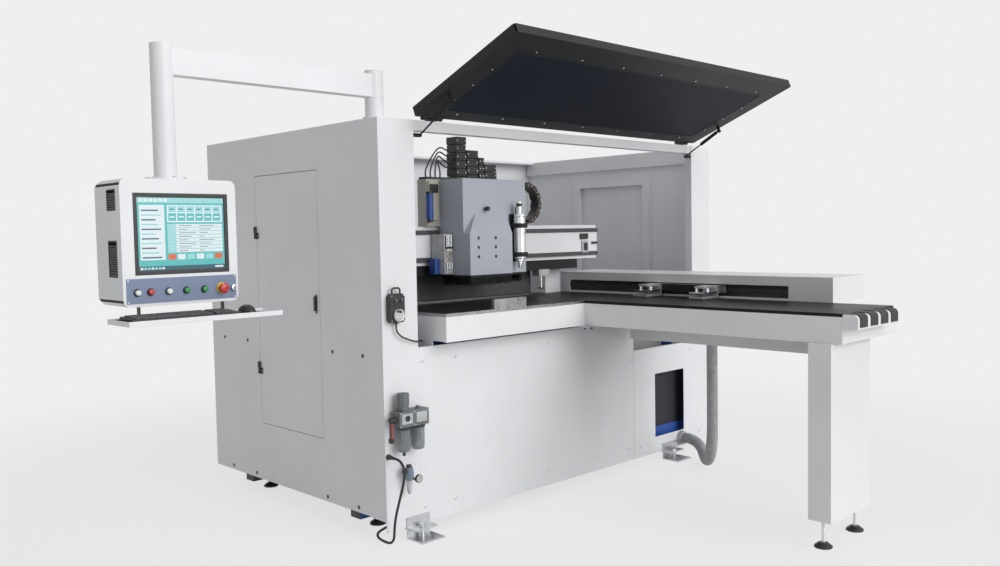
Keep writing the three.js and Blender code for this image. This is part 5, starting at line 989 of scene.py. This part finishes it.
def chain_steps():
    """The stepped tower of drag chains: stacked links with a cover plate and two rivets each."""
    tall = Piece("chain_tower_links", "head", "chain", "dark_plastic", "steel")
    seat, link = 1511.6, 44
    steps = [(868, 949, 2000), (949, 1040, 1928), (1040, 1086, 1890), (1086, 1184, 1853)]
    for x0, x1, top in steps:
        count = round((top - seat) / link)
        pitch = (top - seat) / count
        for k in range(count):
            z0 = seat + k * pitch
            inset = 4 if k % 2 else 1
            front, rear = 430 + inset, 520 - inset
            tall.use(0).block((x0 + 3, x1 - 3), (front, rear), (z0 + 1, z0 + pitch - 1), 3)
            tall.block((x0 + 14, x1 - 14), (front + 0.2, front + 2), (z0 + 8, z0 + pitch - 8), 0.8)
            tall.use(2)
            for x in (x0 + 11, x1 - 11):
                tall.rod("y", 4, (430.6, front + 2.6), (x, z0 + pitch / 2), 10, 0.4)
    tall.use(1).block((steps[0][0] + 3, steps[-1][1] - 3), (440, 510), (seat, seat + 20), 1)
    tall.done(replaces=("chain_tower",))


head_details()
side_unit()
gantry_fittings()
router()
bristles()
chain_ring()
chain_steps()

# ---------------------------------------------------------------- control box

box_left, box_bottom, box_height, panel_face = -1199, 1202, 482, -20
button_z = 1256
button_places = {"white_left": 52.2, "red": 103, "white_right": 173.8, "green_left": 245.1,
                 "green_right": 319.2}


def screen():
    """The monitor: bezel, glass and lit patches that stand for fields, bars and buttons."""
    x0, x1, z0, z1 = -1150.7, -769.3, 1320.3, 1629.7
    face = Piece("screen_unit", "control_box", "plastic", "glass", "teal", "page", "cell",
                 "ink", "alert", "task")
    rim, deep = 14, -4.3
    glass = -14.7
    for xs, zs in (((x0, x0 + rim), (z0, z1)), ((x1 - rim, x1), (z0, z1)),
                   ((x0 + rim, x1 - rim), (z0, z0 + rim)), ((x0 + rim, x1 - rim), (z1 - rim, z1))):
        face.block(xs, (-17.7, deep), zs, 1.6)
    face.use(1).block((x0 + rim - 1, x1 - rim + 1), (glass, deep), (z0 + rim - 1, z1 - rim + 1))
    px0, px1, pz0, pz1 = x0 + rim + 3, x1 - rim - 3, z0 + rim + 3, z1 - rim - 3
    wide, high = px1 - px0, pz1 - pz0

    def patch(index, u0, u1, v0, v1, layer=0):
        """A field at shares of the screen's width and height; a higher layer lies in front."""
        y = glass - 0.2 - 0.12 * layer
        face.use(index).block((px0 + u0 * wide, px0 + u1 * wide), (y, glass),
                              (pz0 + v0 * high, pz0 + v1 * high))

    patch(2, 0, 1, 0.055, 1)
    patch(7, 0, 1, 0, 0.05)
    patch(4, 0, 1, 0.93, 1, 1)
    for i in range(6):
        patch(3, 0.02 + i * 0.055, 0.06 + i * 0.055, 0.945, 0.985, 2)
    patch(3, 0.02, 0.30, 0.14, 0.90, 1)
    for i in range(11):
        v = i * 0.065
        patch(4 if i % 2 else 5, 0.04, 0.26 - 0.03 * (i % 3), 0.165 + v, 0.185 + v, 2)
    patch(3, 0.33, 0.98, 0.66, 0.90, 1)
    for i in range(6):
        u = i * 0.105
        patch(4, 0.345 + u, 0.435 + u, 0.80, 0.885, 2)
        patch(2, 0.345 + u, 0.435 + u, 0.68, 0.785, 2)
        patch(5, 0.36 + u, 0.41 + u, 0.835, 0.85, 3)
        patch(3, 0.36 + u, 0.42 + u, 0.725, 0.745, 3)
    for row in range(8):
        v = row * 0.05
        patch(3, 0.33, 0.98, 0.24 + v, 0.284 + v, 1)
        patch(4, 0.33, 0.43, 0.244 + v, 0.28 + v, 2)
        patch(5, 0.46, 0.56 + 0.05 * (row % 3), 0.258 + v, 0.266 + v, 2)
        patch(5, 0.70, 0.76 + 0.04 * (row % 4), 0.258 + v, 0.266 + v, 2)
    for i, index in enumerate((6, 3, 4, 3, 4, 6)):
        patch(index, 0.33 + i * 0.11, 0.42 + i * 0.11, 0.14, 0.215, 1)
    for i in range(7):
        patch(4 if i % 3 else 3, 0.015 + i * 0.04, 0.045 + i * 0.04, 0.01, 0.04, 1)
    patch(3, 0.88, 0.98, 0.012, 0.038, 1)
    face.done(replaces=("screen",))


def push_buttons():
    for name, offset in button_places.items():
        colour = "cream" if name.startswith("white") else name.split("_")[0]
        x = box_left + offset
        cap = Piece(f"button_{name}_cap", f"button_{name}", colour)
        cap.lathe("y", [(0, -11.6), (5, -11.9), (8.6, -11.5), (10.2, -10.2), (10.6, -8), (10.6, 0),
                        (0, 0)], (x, button_z), -24, 32)
        cap.rod("y", 7, (-24.1, -4), (x, button_z), 16)
        cap.done(replaces=(f"button_{name}",))
        ring = Piece(f"button_{name}_collar", "control_box", "plastic")
        ring.lathe("y", [(11.2, -2.4), (13.6, -2.4), (15, -1.2), (15, 0.2), (11.2, 0.2)],
                   (x, button_z), panel_face, 36, closed=True)
        ring.done()


def stop_button():
    x = -805
    head = Piece("emergency_stop_head", "emergency_stop", "red")
    head.lathe("y", [(0, -22), (8, -21.8), (15, -20.6), (18.8, -18.2), (20, -15.5), (20, -12.4),
                     (18.6, -11), (11, -10.6), (11, 0), (0, 0)], (x, button_z), -26, 44)
    head.rod("y", 7, (-26.1, -4), (x, button_z), 16)
    for k in range(3):
        dimple_x, dimple_z = round_at((x, button_z), 12, 2 * math.pi * k / 3 + 0.4)
        head.ball((dimple_x, -47.6, dimple_z), (2.2, 0.8, 2.2), 10, 6)
    head.done(replaces=("emergency_stop",))
    ring = Piece("emergency_stop_ring", "control_box", "yellow")
    ring.lathe("y", [(11.6, -1.6), (22, -1.6), (23, -1), (23, 0.2), (11.6, 0.2)],
               (x, button_z), panel_face, 44, closed=True)
    ring.done()


def key_lock():
    x = -756
    lock = Piece("key_switch_barrel", "key_switch", "bright", "plastic", "steel")
    lock.lathe("y", [(0, -14), (8, -14), (9, -13.4), (11.4, -13), (12, -12), (12, -4),
                     (11.4, -3), (11.4, 0), (0, 0)], (x, button_z), -20.3, 32)
    lock.rod("y", 7, (-20.4, -4), (x, button_z), 16)
    lock.use(2).block((x - 1.1, x + 1.1), (-44, -34), (button_z - 10.5, button_z + 10.5), 0.6)
    lock.use(1).block((x - 2.5, x + 2.5), (-38, -34.2), (button_z - 5, button_z + 5), 0.8)
    lock.done(replaces=("key_switch",))


def box_details():
    """The control box's screws, vents with slats, tube bolts and the tray's stop."""
    fittings = Piece("control_box_fittings", "control_box", "steel", "plastic")
    for x in (-1180, -749):
        for z in (1220, 1302):
            fittings.screw("y", (x, z), panel_face, 3.4, height=1.6)
    fittings.use(1)
    slat, border, opening = 9, 5, (27, 101)
    for low, high in ((0.75, 0.92), (0.23, 0.52)):
        z0, z1 = box_bottom + box_height * low, box_bottom + box_height * high
        for ys, zs in (((22, 27), (z0, z1)), ((101, 106), (z0, z1)),
                       (opening, (z0, z0 + border)), (opening, (z1 - border, z1))):
            fittings.block((box_left, box_left + 2.6), ys, zs, 0.6)
        for i in range(int((z1 - z0 - 14) / slat)):
            z = z0 + slat + i * slat
            fittings.prism([(-1196.2, z - 0.8), (-1196.2, z - 2.4), (-1198.6, z + 1.8),
                            (-1198.6, z + 3.4)], "y", opening)
    fittings.use(0)
    tube, bolt_circle = (-966, 100), 70
    for a in range(6):
        bolt = round_at(tube, bolt_circle, math.radians(60 * a + 30))
        fittings.rod("z", 7, (1693.9, 1699.5), bolt, 6, 0.8)
    fittings.use(1)
    fittings.block((-1166, -1162), (-17, 18), (1160.3, 1163), 0.8)
    fittings.done()


def keyboard():
    """Keyboard with its keys, and a mouse with wheel and lead, on the tray."""
    x0, y0, z = -1215, -141, 1156.3
    board = Piece("keyboard_unit", "control_box", "plastic", "dark_plastic")
    wide, deep = 430, 128
    board.prism([(y0, z), (y0 + deep, z), (y0 + deep, z + 15), (y0 + 4, z + 9), (y0, z + 7)], "x",
                (x0, x0 + wide), 1.6)
    widths = [[1] * 15, [1.5] + [1] * 12 + [1.5], [1.8] + [1] * 11 + [2.2],
              [2.3] + [1] * 10 + [2.7], [1.3, 1.3, 1.3, 6.2, 1.3, 1.2, 1.2, 1.2]]
    main, pad, pitch, side = 300, 76, 22, 12
    board.use(1)
    for row, keys in enumerate(widths):
        y = y0 + deep - pitch - row * pitch
        top = z + 15 - 1.15 * row
        ys, zs = (y - 9, y + 9), (top - 5, top + 4.2)
        unit = main / sum(keys)
        x = x0 + side
        for size in keys:
            board.block((x + 1, x + size * unit - 1), ys, zs, 1.3)
            x += size * unit
        for k in range(4):
            px = x0 + side + main + 14 + k * pad / 4
            board.block((px + 1, px + pad / 4 - 1), ys, zs, 1.3)
    mx, my = -735, -85
    board.use(0)
    board.ball((mx, my, z + 1), (30.5, 49, 31), 24, 14)
    mouse = [g for g in (*board.bm.verts, *board.bm.edges, *board.bm.faces) if near_mouse(g, mx)]
    bmesh.ops.bisect_plane(board.bm, geom=mouse, plane_co=(0, 0, z + 0.4), plane_no=(0, 0, -1),
                           clear_outer=True)
    rim = [e for e in board.bm.edges if e.is_boundary]
    underside = bmesh.ops.holes_fill(board.bm, edges=rim, sides=0)["faces"]
    for f in underside:
        f.material_index = 0
    board.use(1).rod("x", 7, (mx - 3.4, mx + 3.4), (my - 26, z + 24.5), 18, 1)
    lead = smooth_path([(x0 + wide - 6, y0 + 92, z + 3), (x0 + wide + 14, y0 + 104, z + 2.4),
                        (x0 + wide + 34, y0 + 112, z + 2.4), (mx - 6, my + 50, z + 4),
                        (mx, my + 40, z + 8)], 4)
    board.sweep(lead, 1.8, 10)
    board.done(replaces=("keyboard",))


def near_mouse(g, mx):
    """Whether a corner, edge or face lies on the mouse and not on the keyboard."""
    verts = g.verts if hasattr(g, "verts") else (g,)
    return all(v.co.x > mx - 31.5 for v in verts)


screen()
push_buttons()
stop_button()
key_lock()
box_details()
keyboard()

# ---------------------------------------------------------------- hand pendant


def pendant():
    """The hand pendant on its hook plate: case, handle, two selector knobs, and hand wheel."""
    x0, x1, z0, z1, y0, y1 = 24, 108, 1046, 1182, -37.3, -3.3
    body = Piece("pendant_case", "machine", "plastic", "dark_plastic", "steel", "light_grey")
    cut, middle = 12, (66, -20.3)
    outline = [(x1 - cut, z0), (x1, z0 + cut), (x1, z1 - cut), (x1 - cut, z1), (x0 + cut, z1),
               (x0, z1 - cut), (x0, z0 + cut), (x0 + cut, z0)]
    body.prism(outline, "y", (y0, y1), 2.2)
    grip_y, grip_z = -23.8, 1207.4
    handle = smooth_path([(43, grip_y, 1178), (43, grip_y, 1200), (52, grip_y, grip_z),
                          (middle[0], grip_y, grip_z), (80, grip_y, grip_z),
                          (89, grip_y, 1200), (89, grip_y, 1178)], 3)
    body.sweep(handle, 4.4, 12)
    body.use(2).block((48, 84), (-3.4, -0.3), (1142, 1162), 0.8)
    selectors = ((49, 1150), (83, 1150))
    for x, z in selectors:
        body.use(1).lathe("y", [(0, -14), (6, -14), (8, -13), (8, -3), (10.5, -2), (10.5, 0),
                                (0, 0)], (x, z), y0, 20)
        body.use(3).block((x - 0.8, x + 0.8), (y0 - 14.4, y0 - 13.8), (z, z + 7.4), 0.2)
    for k in range(7):
        for selector in selectors:
            tick = round_at(selector, 14, math.radians(210 - 40 * k))
            body.rod("y", 0.9, (y0 - 0.3, y0 + 0.2), tick, 8)
    body.use(2)
    for x in (31, 101):
        for z in (1056, 1172):
            body.screw("y", (x, z), y0, 2.6, height=1.2)
    body.use(1)
    for side, x in ((-1, x0), (1, x1)):
        body.rod("x", 9, sorted((x - side, x + side * 3.2)), (middle[1], 1112), 18, 1)
    body.lathe("z", [(0, -9), (7.6, -9), (7.6, -7), (9, -6), (9, 0), (0, 0)], middle, z0, 20)
    body.done(replaces=("pendant_body",))
    wheel = Piece("pendant_hand_wheel", "pendant_dial", "bright", "plastic")
    face, hub = -37.6, (66, 1082)
    wheel.lathe("y", [(0, -10.6), (12, -10.6), (14, -9), (24, -9), (26, -11.6), (28.6, -12),
                      (30, -10.6), (30, -1), (29, 0), (0, 0)], hub, face, 60)
    wheel.rod("y", 6.6, (face - 0.1, face + 12), hub, 16)
    marks = 50
    for k in range(marks):
        inner = 22 if k % 5 else 20.6
        wheel.use(1).tick((hub[0], face - 9.2, hub[1]), 2 * math.pi * k / marks, (inner, 23.6),
                          (0.5, 0.5))
    wheel.lathe("y", [(0, -23.6), (4, -23.6), (6, -22), (5.4, -14), (4, -12), (4, -9), (0, -9)],
                (hub[0], hub[1] + 16.5), face, 20)
    wheel.done(replaces=("pendant_dial",))


pendant()

# ---------------------------------------------------------------- air service units


def air_units():
    """The filter pair with its bowls and knob rings, and the small regulator with its gauge."""
    yc = -50.3
    bowl_places = (72, 158)
    unit = Piece("air_filter_bodies", "machine", "filter_grey", "light_grey", "steel", "plastic",
                 "brass")
    for x0, x1 in ((26, 118), (112, 204)):
        lo, hi = x0 + 0.5, x1 - 0.5
        unit.use(0).block((lo, hi), (yc - 32, yc + 32), (557, 634), 4, 3)
        unit.use(1).block((lo + 14, hi - 14), (yc - 33.4, yc - 30), (574, 622), 1.5)
        unit.use(2)
        for side in (-1, 1):
            for z in (626, 566):
                unit.screw("y", ((x0 + x1) / 2 + side * 38, z), yc - 32, 3, height=1.4)
    unit.use(3)
    ribs = 16
    for x in bowl_places:
        unit.rod("z", 33.6, (545, 557), (x, yc), 40, 1.4)
        for k in range(ribs):
            unit.rod("z", 2.2, (546, 556), round_at((x, yc), 33, 2 * math.pi * k / ribs), 8)
    unit.use(0)
    unit.lathe("z", [(0, 0), (28, 0), (28, 12), (26, 14), (26, 25), (0, 25)], (72, yc), 636, 36)
    unit.lathe("z", [(0, 0), (17, 0), (17, 3), (9, 5), (9, 11), (7, 12.5), (0, 12.5)],
               (158, yc), 634, 24)
    unit.use(3)
    unit.lathe("y", [(0, -4), (12, -4), (14, -3), (14, 0), (0, 0)], (72, 600), yc - 33.2, 28)
    unit.use(2)
    unit.block((46, 184), (-18.9, -0.3), (573, 616), 1)
    unit.use(4)
    unit.lathe("x", [(0, 0), (12, 0), (12, 5), (9, 6), (9, 8), (0, 8)], (yc, 594.5), 203.7, 6)
    unit.rod("x", 9.6, (17.2, 26.3), (yc, 596), 20, 0.8)
    for x, low in ((72, 420), (158, 439)):
        unit.use(3).rod("z", 8, (low, 441), (x, yc), 12, 0.8)
    unit.done(replaces=("air_filter",))
    bowls = Piece("air_filter_bowls", "machine", "clear", "light_grey")
    for x in bowl_places:
        bowls.use(0).lathe("z", [(8, 439), (22, 439), (27, 442), (31, 452), (32, 470),
                                 (32, 546), (30, 546), (30, 471), (29, 454), (25, 445),
                                 (21, 441.6), (8, 441.6)], (x, yc), 0, 40, closed=True)
        bowls.use(1).rod("z", 9, (470, 545), (x, yc), 18, 1)
        for k in range(6):
            bowls.rod("z", 16, (486 + k * 9, 489 + k * 9), (x, yc), 24, 0.8)
    bowls.done()
    small = Piece("small_regulator_unit", "machine", "regulator", "plastic", "light_grey",
                  "brass", "steel")
    x, y, z = 104, -44, 328
    gauge = (x + 34, z - 26)
    small.lathe("z", [(0, -30), (18, -30), (22, -26), (22, 12), (20, 14), (20, 26), (16, 30),
                      (0, 30)], (x, y), z, 32)
    small.use(1)
    small.lathe("z", [(0, 0), (13, 0), (13, 10), (11.5, 12.6), (0, 12.6)], (x, y), z + 30, 24)
    small.lathe("x", [(0, -36), (9, -36), (10, -34), (10, -28), (14, -27), (14, -22), (0, -22)],
                (y, z + 15), x, 24)
    small.lathe("y", [(0, -36), (19, -36), (20, -35), (20, -24), (18, -22), (0, -22)], gauge, y,
                36)
    small.use(2)
    small.lathe("y", [(0, -36.2), (17.6, -36.2), (17.6, -35.4), (0, -35.4)], gauge, y, 36)
    small.use(1)
    for k in range(9):
        small.tick((gauge[0], y - 36.3, gauge[1]), math.radians(225 - 33.75 * k), (12.3, 15.7),
                   (0.4, 0.7))
    small.tick((gauge[0] + 3, y - 36.4, gauge[1] + 4), math.radians(50), (-7, 7), (0.4, 1))
    small.use(3).block((x, x + 34), (y - 20, y - 10.6), (z - 31, z - 21), 1)
    small.use(2).lathe("z", [(0, -98), (5, -98), (9, -88), (12, -78), (12, -30), (0, -30)],
                       (x, y), z, 24)
    small.use(4).block((x - 11, x + 11), (y, -0.3), (z - 11, z + 11), 1)
    small.done(replaces=("small_regulator",))
    knob_trim = Piece("filter_knob_rings", "filter_knob", "plastic")
    knob_trim.lathe("z", [(0, -0.2), (24, -0.2), (25, 0.4), (0, 0.4)], (72, yc), 715, 30)
    knob_trim.done()


air_units()

# ---------------------------------------------------------------- fixings on the enclosure


rear_face, right_face = 1655, 2738


def fixings():
    """Screws of the front covers and columns, plugs in the left side, screws behind."""
    bolts = Piece("panel_screws", "machine", "steel")
    front = [(447, 844), (1129, 844), (1849, 844), (431, 130), (1124, 130), (1844, 130),
             (233, 844), (233, 130), (1878, 669), (1957, 675), (2498, 675), (1957, 119),
             (2600, 119), (2710, 675), (2710, 119), (2498, 119)]
    for x, z in front:
        bolts.screw("y", (x, z), 0, 8, height=2.6, socket=0.62)
    for z in (260, 700, 1160, 1620, 1930):
        bolts.screw("y", (2560, z) if z > 730 else (2580, z), 0, 4.5, height=2)
        bolts.screw("y", (2712, z), 0, 4.5, height=2)
    bolts.done()
    plugs = Piece("side_plugs", "machine", "plastic")
    for y, z in ((1513, 881), (1250, 881), (413, 881), (159, 881), (1457, 135), (1195, 135),
                 (489, 135), (222, 135)):
        plugs.lathe("x", [(0, -1.6), (8, -1.6), (9.4, -1), (9.8, 0), (0, 0)], (y, z), 0, 24)
    plugs.done()
    rear = Piece("rear_screws", "machine", "bright")
    for x in (300, 840, 1380, 1920, 2460, 2660):
        for z in (110, 700, 1300, 1940):
            rear.screw("y", (x, z), rear_face, 6, out=1)
    for y in (160, 420, 1240, 1500):
        for z in (135, 881, 1880):
            rear.screw("x", (y, z), right_face, 6, out=1)
    rear.done()


def inner_sheets():
    """The table's white side sheet, a bracket at the table's corner, and sheets of painted shade:
    a grey one behind the covers' gaps, a near-black one behind the front panel's window and a dark
    one under the gantry beam, standing in for the shade inside the machine.
    """
    sheet = Piece("table_side_and_shade_sheets", "machine", "white", "grey")
    sheet.use(0).block((303.4, 306), (-1, 252), (868, 1056.2), 0.5)
    # painted shade: this grey sheet behind the covers' gaps stands in for the shade inside the
    # machine
    sheet.use(1).block((1700, 2528), (247, 250), (604, 905), 0.5)
    sheet.done()
    # painted shade: a near-black sheet behind the front panel's window stands in for the shade
    # inside, with a blue strip along its foot
    shade_sheet = Piece("window_shade_sheet", "machine", "shade_sheet", "blue")
    shade_sheet.block((2080, 2528), (62, 65), (128, 600), 0.5)
    shade_sheet.use(1).block((2100, 2528), (58, 62), (128, 200), 0.5)
    shade_sheet.done()
    # painted shade: a dark sheet in front of the gantry's posts stands in for the shade under the
    # gantry beam
    rear_shade_sheet = Piece("gantry_shade_sheet", "machine", "dark_plastic")
    rear_shade_sheet.block((322, 1540), (516, 526), (1084, 1286), 0.8)
    rear_shade_sheet.done()
    bracket = Piece("table_corner_bracket", "machine", "steel", "plastic")
    bracket.use(0).block((1262, 1386), (-160, -38), (926, 933.6), 1)
    bracket.use(1)
    for x, y in ((1296, -128), (1330, -146)):
        bracket.rod("z", 7, (914, 926), (x, y), 14, 1)
    bracket.done()


def door_fittings():
    """Lock and hinge screws of the cabinet door and of the right door, its mirror."""
    door_hinge_y, frame_hinge_y, lock_y = 1098, 1130, 543.5
    hinge_screw = {"radius": 3.2, "height": 1.4}
    for body, x, side in (("cabinet_door", 0, -1), ("right_door", right_face, 1)):
        lock = Piece(f"{body}_lock_trim", body, "bright")
        px = x + side * 4
        lock.rod("x", 5.5, sorted((px - side, px + side * 0.25)), (lock_y, 1080), 20, 0.1)
        for z in (1070.5, 1156):
            lock.screw("x", (lock_y, z), px, 2.4, out=side, height=1.0)
        for z in HINGE_HEIGHTS:
            lock.screw("x", (door_hinge_y, z - 16), x + side * 5, out=side, **hinge_screw)
        lock.done()
    leaves = Piece("hinge_leaf_screws", "machine", "bright")
    for x, side in ((0, -1), (right_face, 1)):
        for z in HINGE_HEIGHTS:
            leaves.screw("x", (frame_hinge_y, z + 16), x + side * 5, out=side, **hinge_screw)
    leaves.done()


def feet():
    """The threads of the leg's two foot stems."""
    nuts = Piece("foot_stems", "machine", "bright")
    turns, pitch, lowest = 9, 8.5, 27
    for x in (1339, 1661):
        for k in range(turns):
            z = lowest + k * pitch
            nuts.rod("z", 8.7, (z, z + 4), (x, -1495), 18, 1.2)
    nuts.done()


fixings()
inner_sheets()
door_fittings()
feet()

# ---------------------------------------------------------------- stage and light


BACKDROP = (0.863, 0.863, 0.863)
floor_glow = 0.8  # share of the plain backdrop in the floor near the machine
glow_start, glow_full = 2.2, 6.0  # metres over which the floor fades to the backdrop
sky_strength, sun_strength = 0.41, 1.64
top_power, side_power = 26, 1


def seen_rays(tree):
    """1 for the camera's, mirrored and transmitted rays, 0 for those that light the object."""
    camera_ray, mirrored, transmitted = (
        add_node(tree, "LightPath", {}, {}, f"Is {kind} Ray")
        for kind in ("Camera", "Glossy", "Transmission"))
    either = add_node(tree, "Math", {"operation": "MAXIMUM"}, {0: camera_ray, 1: mirrored})
    return add_node(tree, "Math", {"operation": "MAXIMUM"}, {0: either, 1: transmitted})


def stage():
    """A pale floor that takes the machine's shadow and fades to the backdrop."""
    plane = bpy.data.meshes.new("floor")
    bm = bmesh.new()
    bmesh.ops.create_grid(bm, x_segments=2, y_segments=2, size=60)
    bm.to_mesh(plane)
    bm.free()
    floor = bpy.data.objects.new("floor", plane)
    bpy.context.scene.collection.objects.link(floor)
    f = Finish("studio_floor", Roughness=0.85, Specular_IOR_Level=0.1)
    f.give(Base_Color=f.mix((0.84, 0.84, 0.84), (0.86, 0.86, 0.86), f.noise(0.7, 3)))
    x, y = f.axis("X"), f.axis("Y")
    far = (x * x + y * y).math("SQRT").over(glow_start, glow_full)
    share = (far * (1 - floor_glow) + floor_glow) * Wire(f, seen_rays(f.tree))
    plain = f.node("Emission", {}, {"Color": BACKDROP})
    shown = f.node("MixShader", {}, {0: share, 1: f.shader.outputs[0], 2: plain})
    feed(f.tree, f.tree.nodes["Material Output"].inputs[0], shown)
    plane.materials.append(f.material)


def light():
    """An even sky, a soft sun from the front and two soft boxes; the backdrop lights nothing."""
    world = bpy.data.worlds.new("studio")
    bpy.context.scene.world = world
    world.use_nodes = True
    tree = world.node_tree
    tree.nodes.clear()
    seen = add_node(tree, "Background", {}, {"Color": BACKDROP})
    lit = add_node(tree, "Background", {}, {"Color": (1, 1, 1), "Strength": sky_strength})
    shown = add_node(tree, "MixShader", {}, {0: seen_rays(tree), 1: lit, 2: seen})
    feed(tree, tree.nodes.new("ShaderNodeOutputWorld").inputs[0], shown)
    sun = bpy.data.lights.new("key", "SUN")
    sun.energy = sun_strength
    sun.angle = math.radians(44)
    key = bpy.data.objects.new("key", sun)
    bpy.context.scene.collection.objects.link(key)
    key.rotation_euler = Vector((-0.16, 0.92, -0.34)).to_track_quat("-Z", "Y").to_euler()
    for name, spot, aim, size, power in (
            ("top_softbox", (0.6, -2.2, 4.2), (0.6, 0.2, 1.0), 3.2, top_power),
            ("side_softbox", (-5.5, 0.5, 2.6), (0, 0.5, 1.1), 3.0, side_power)):
        area = bpy.data.lights.new(name, "AREA")
        area.energy = power
        area.size = size
        lamp = bpy.data.objects.new(name, area)
        bpy.context.scene.collection.objects.link(lamp)
        lamp.location = spot
        lamp.rotation_euler = (Vector(aim) - Vector(spot)).to_track_quat("-Z", "Y").to_euler()


stage()
light()
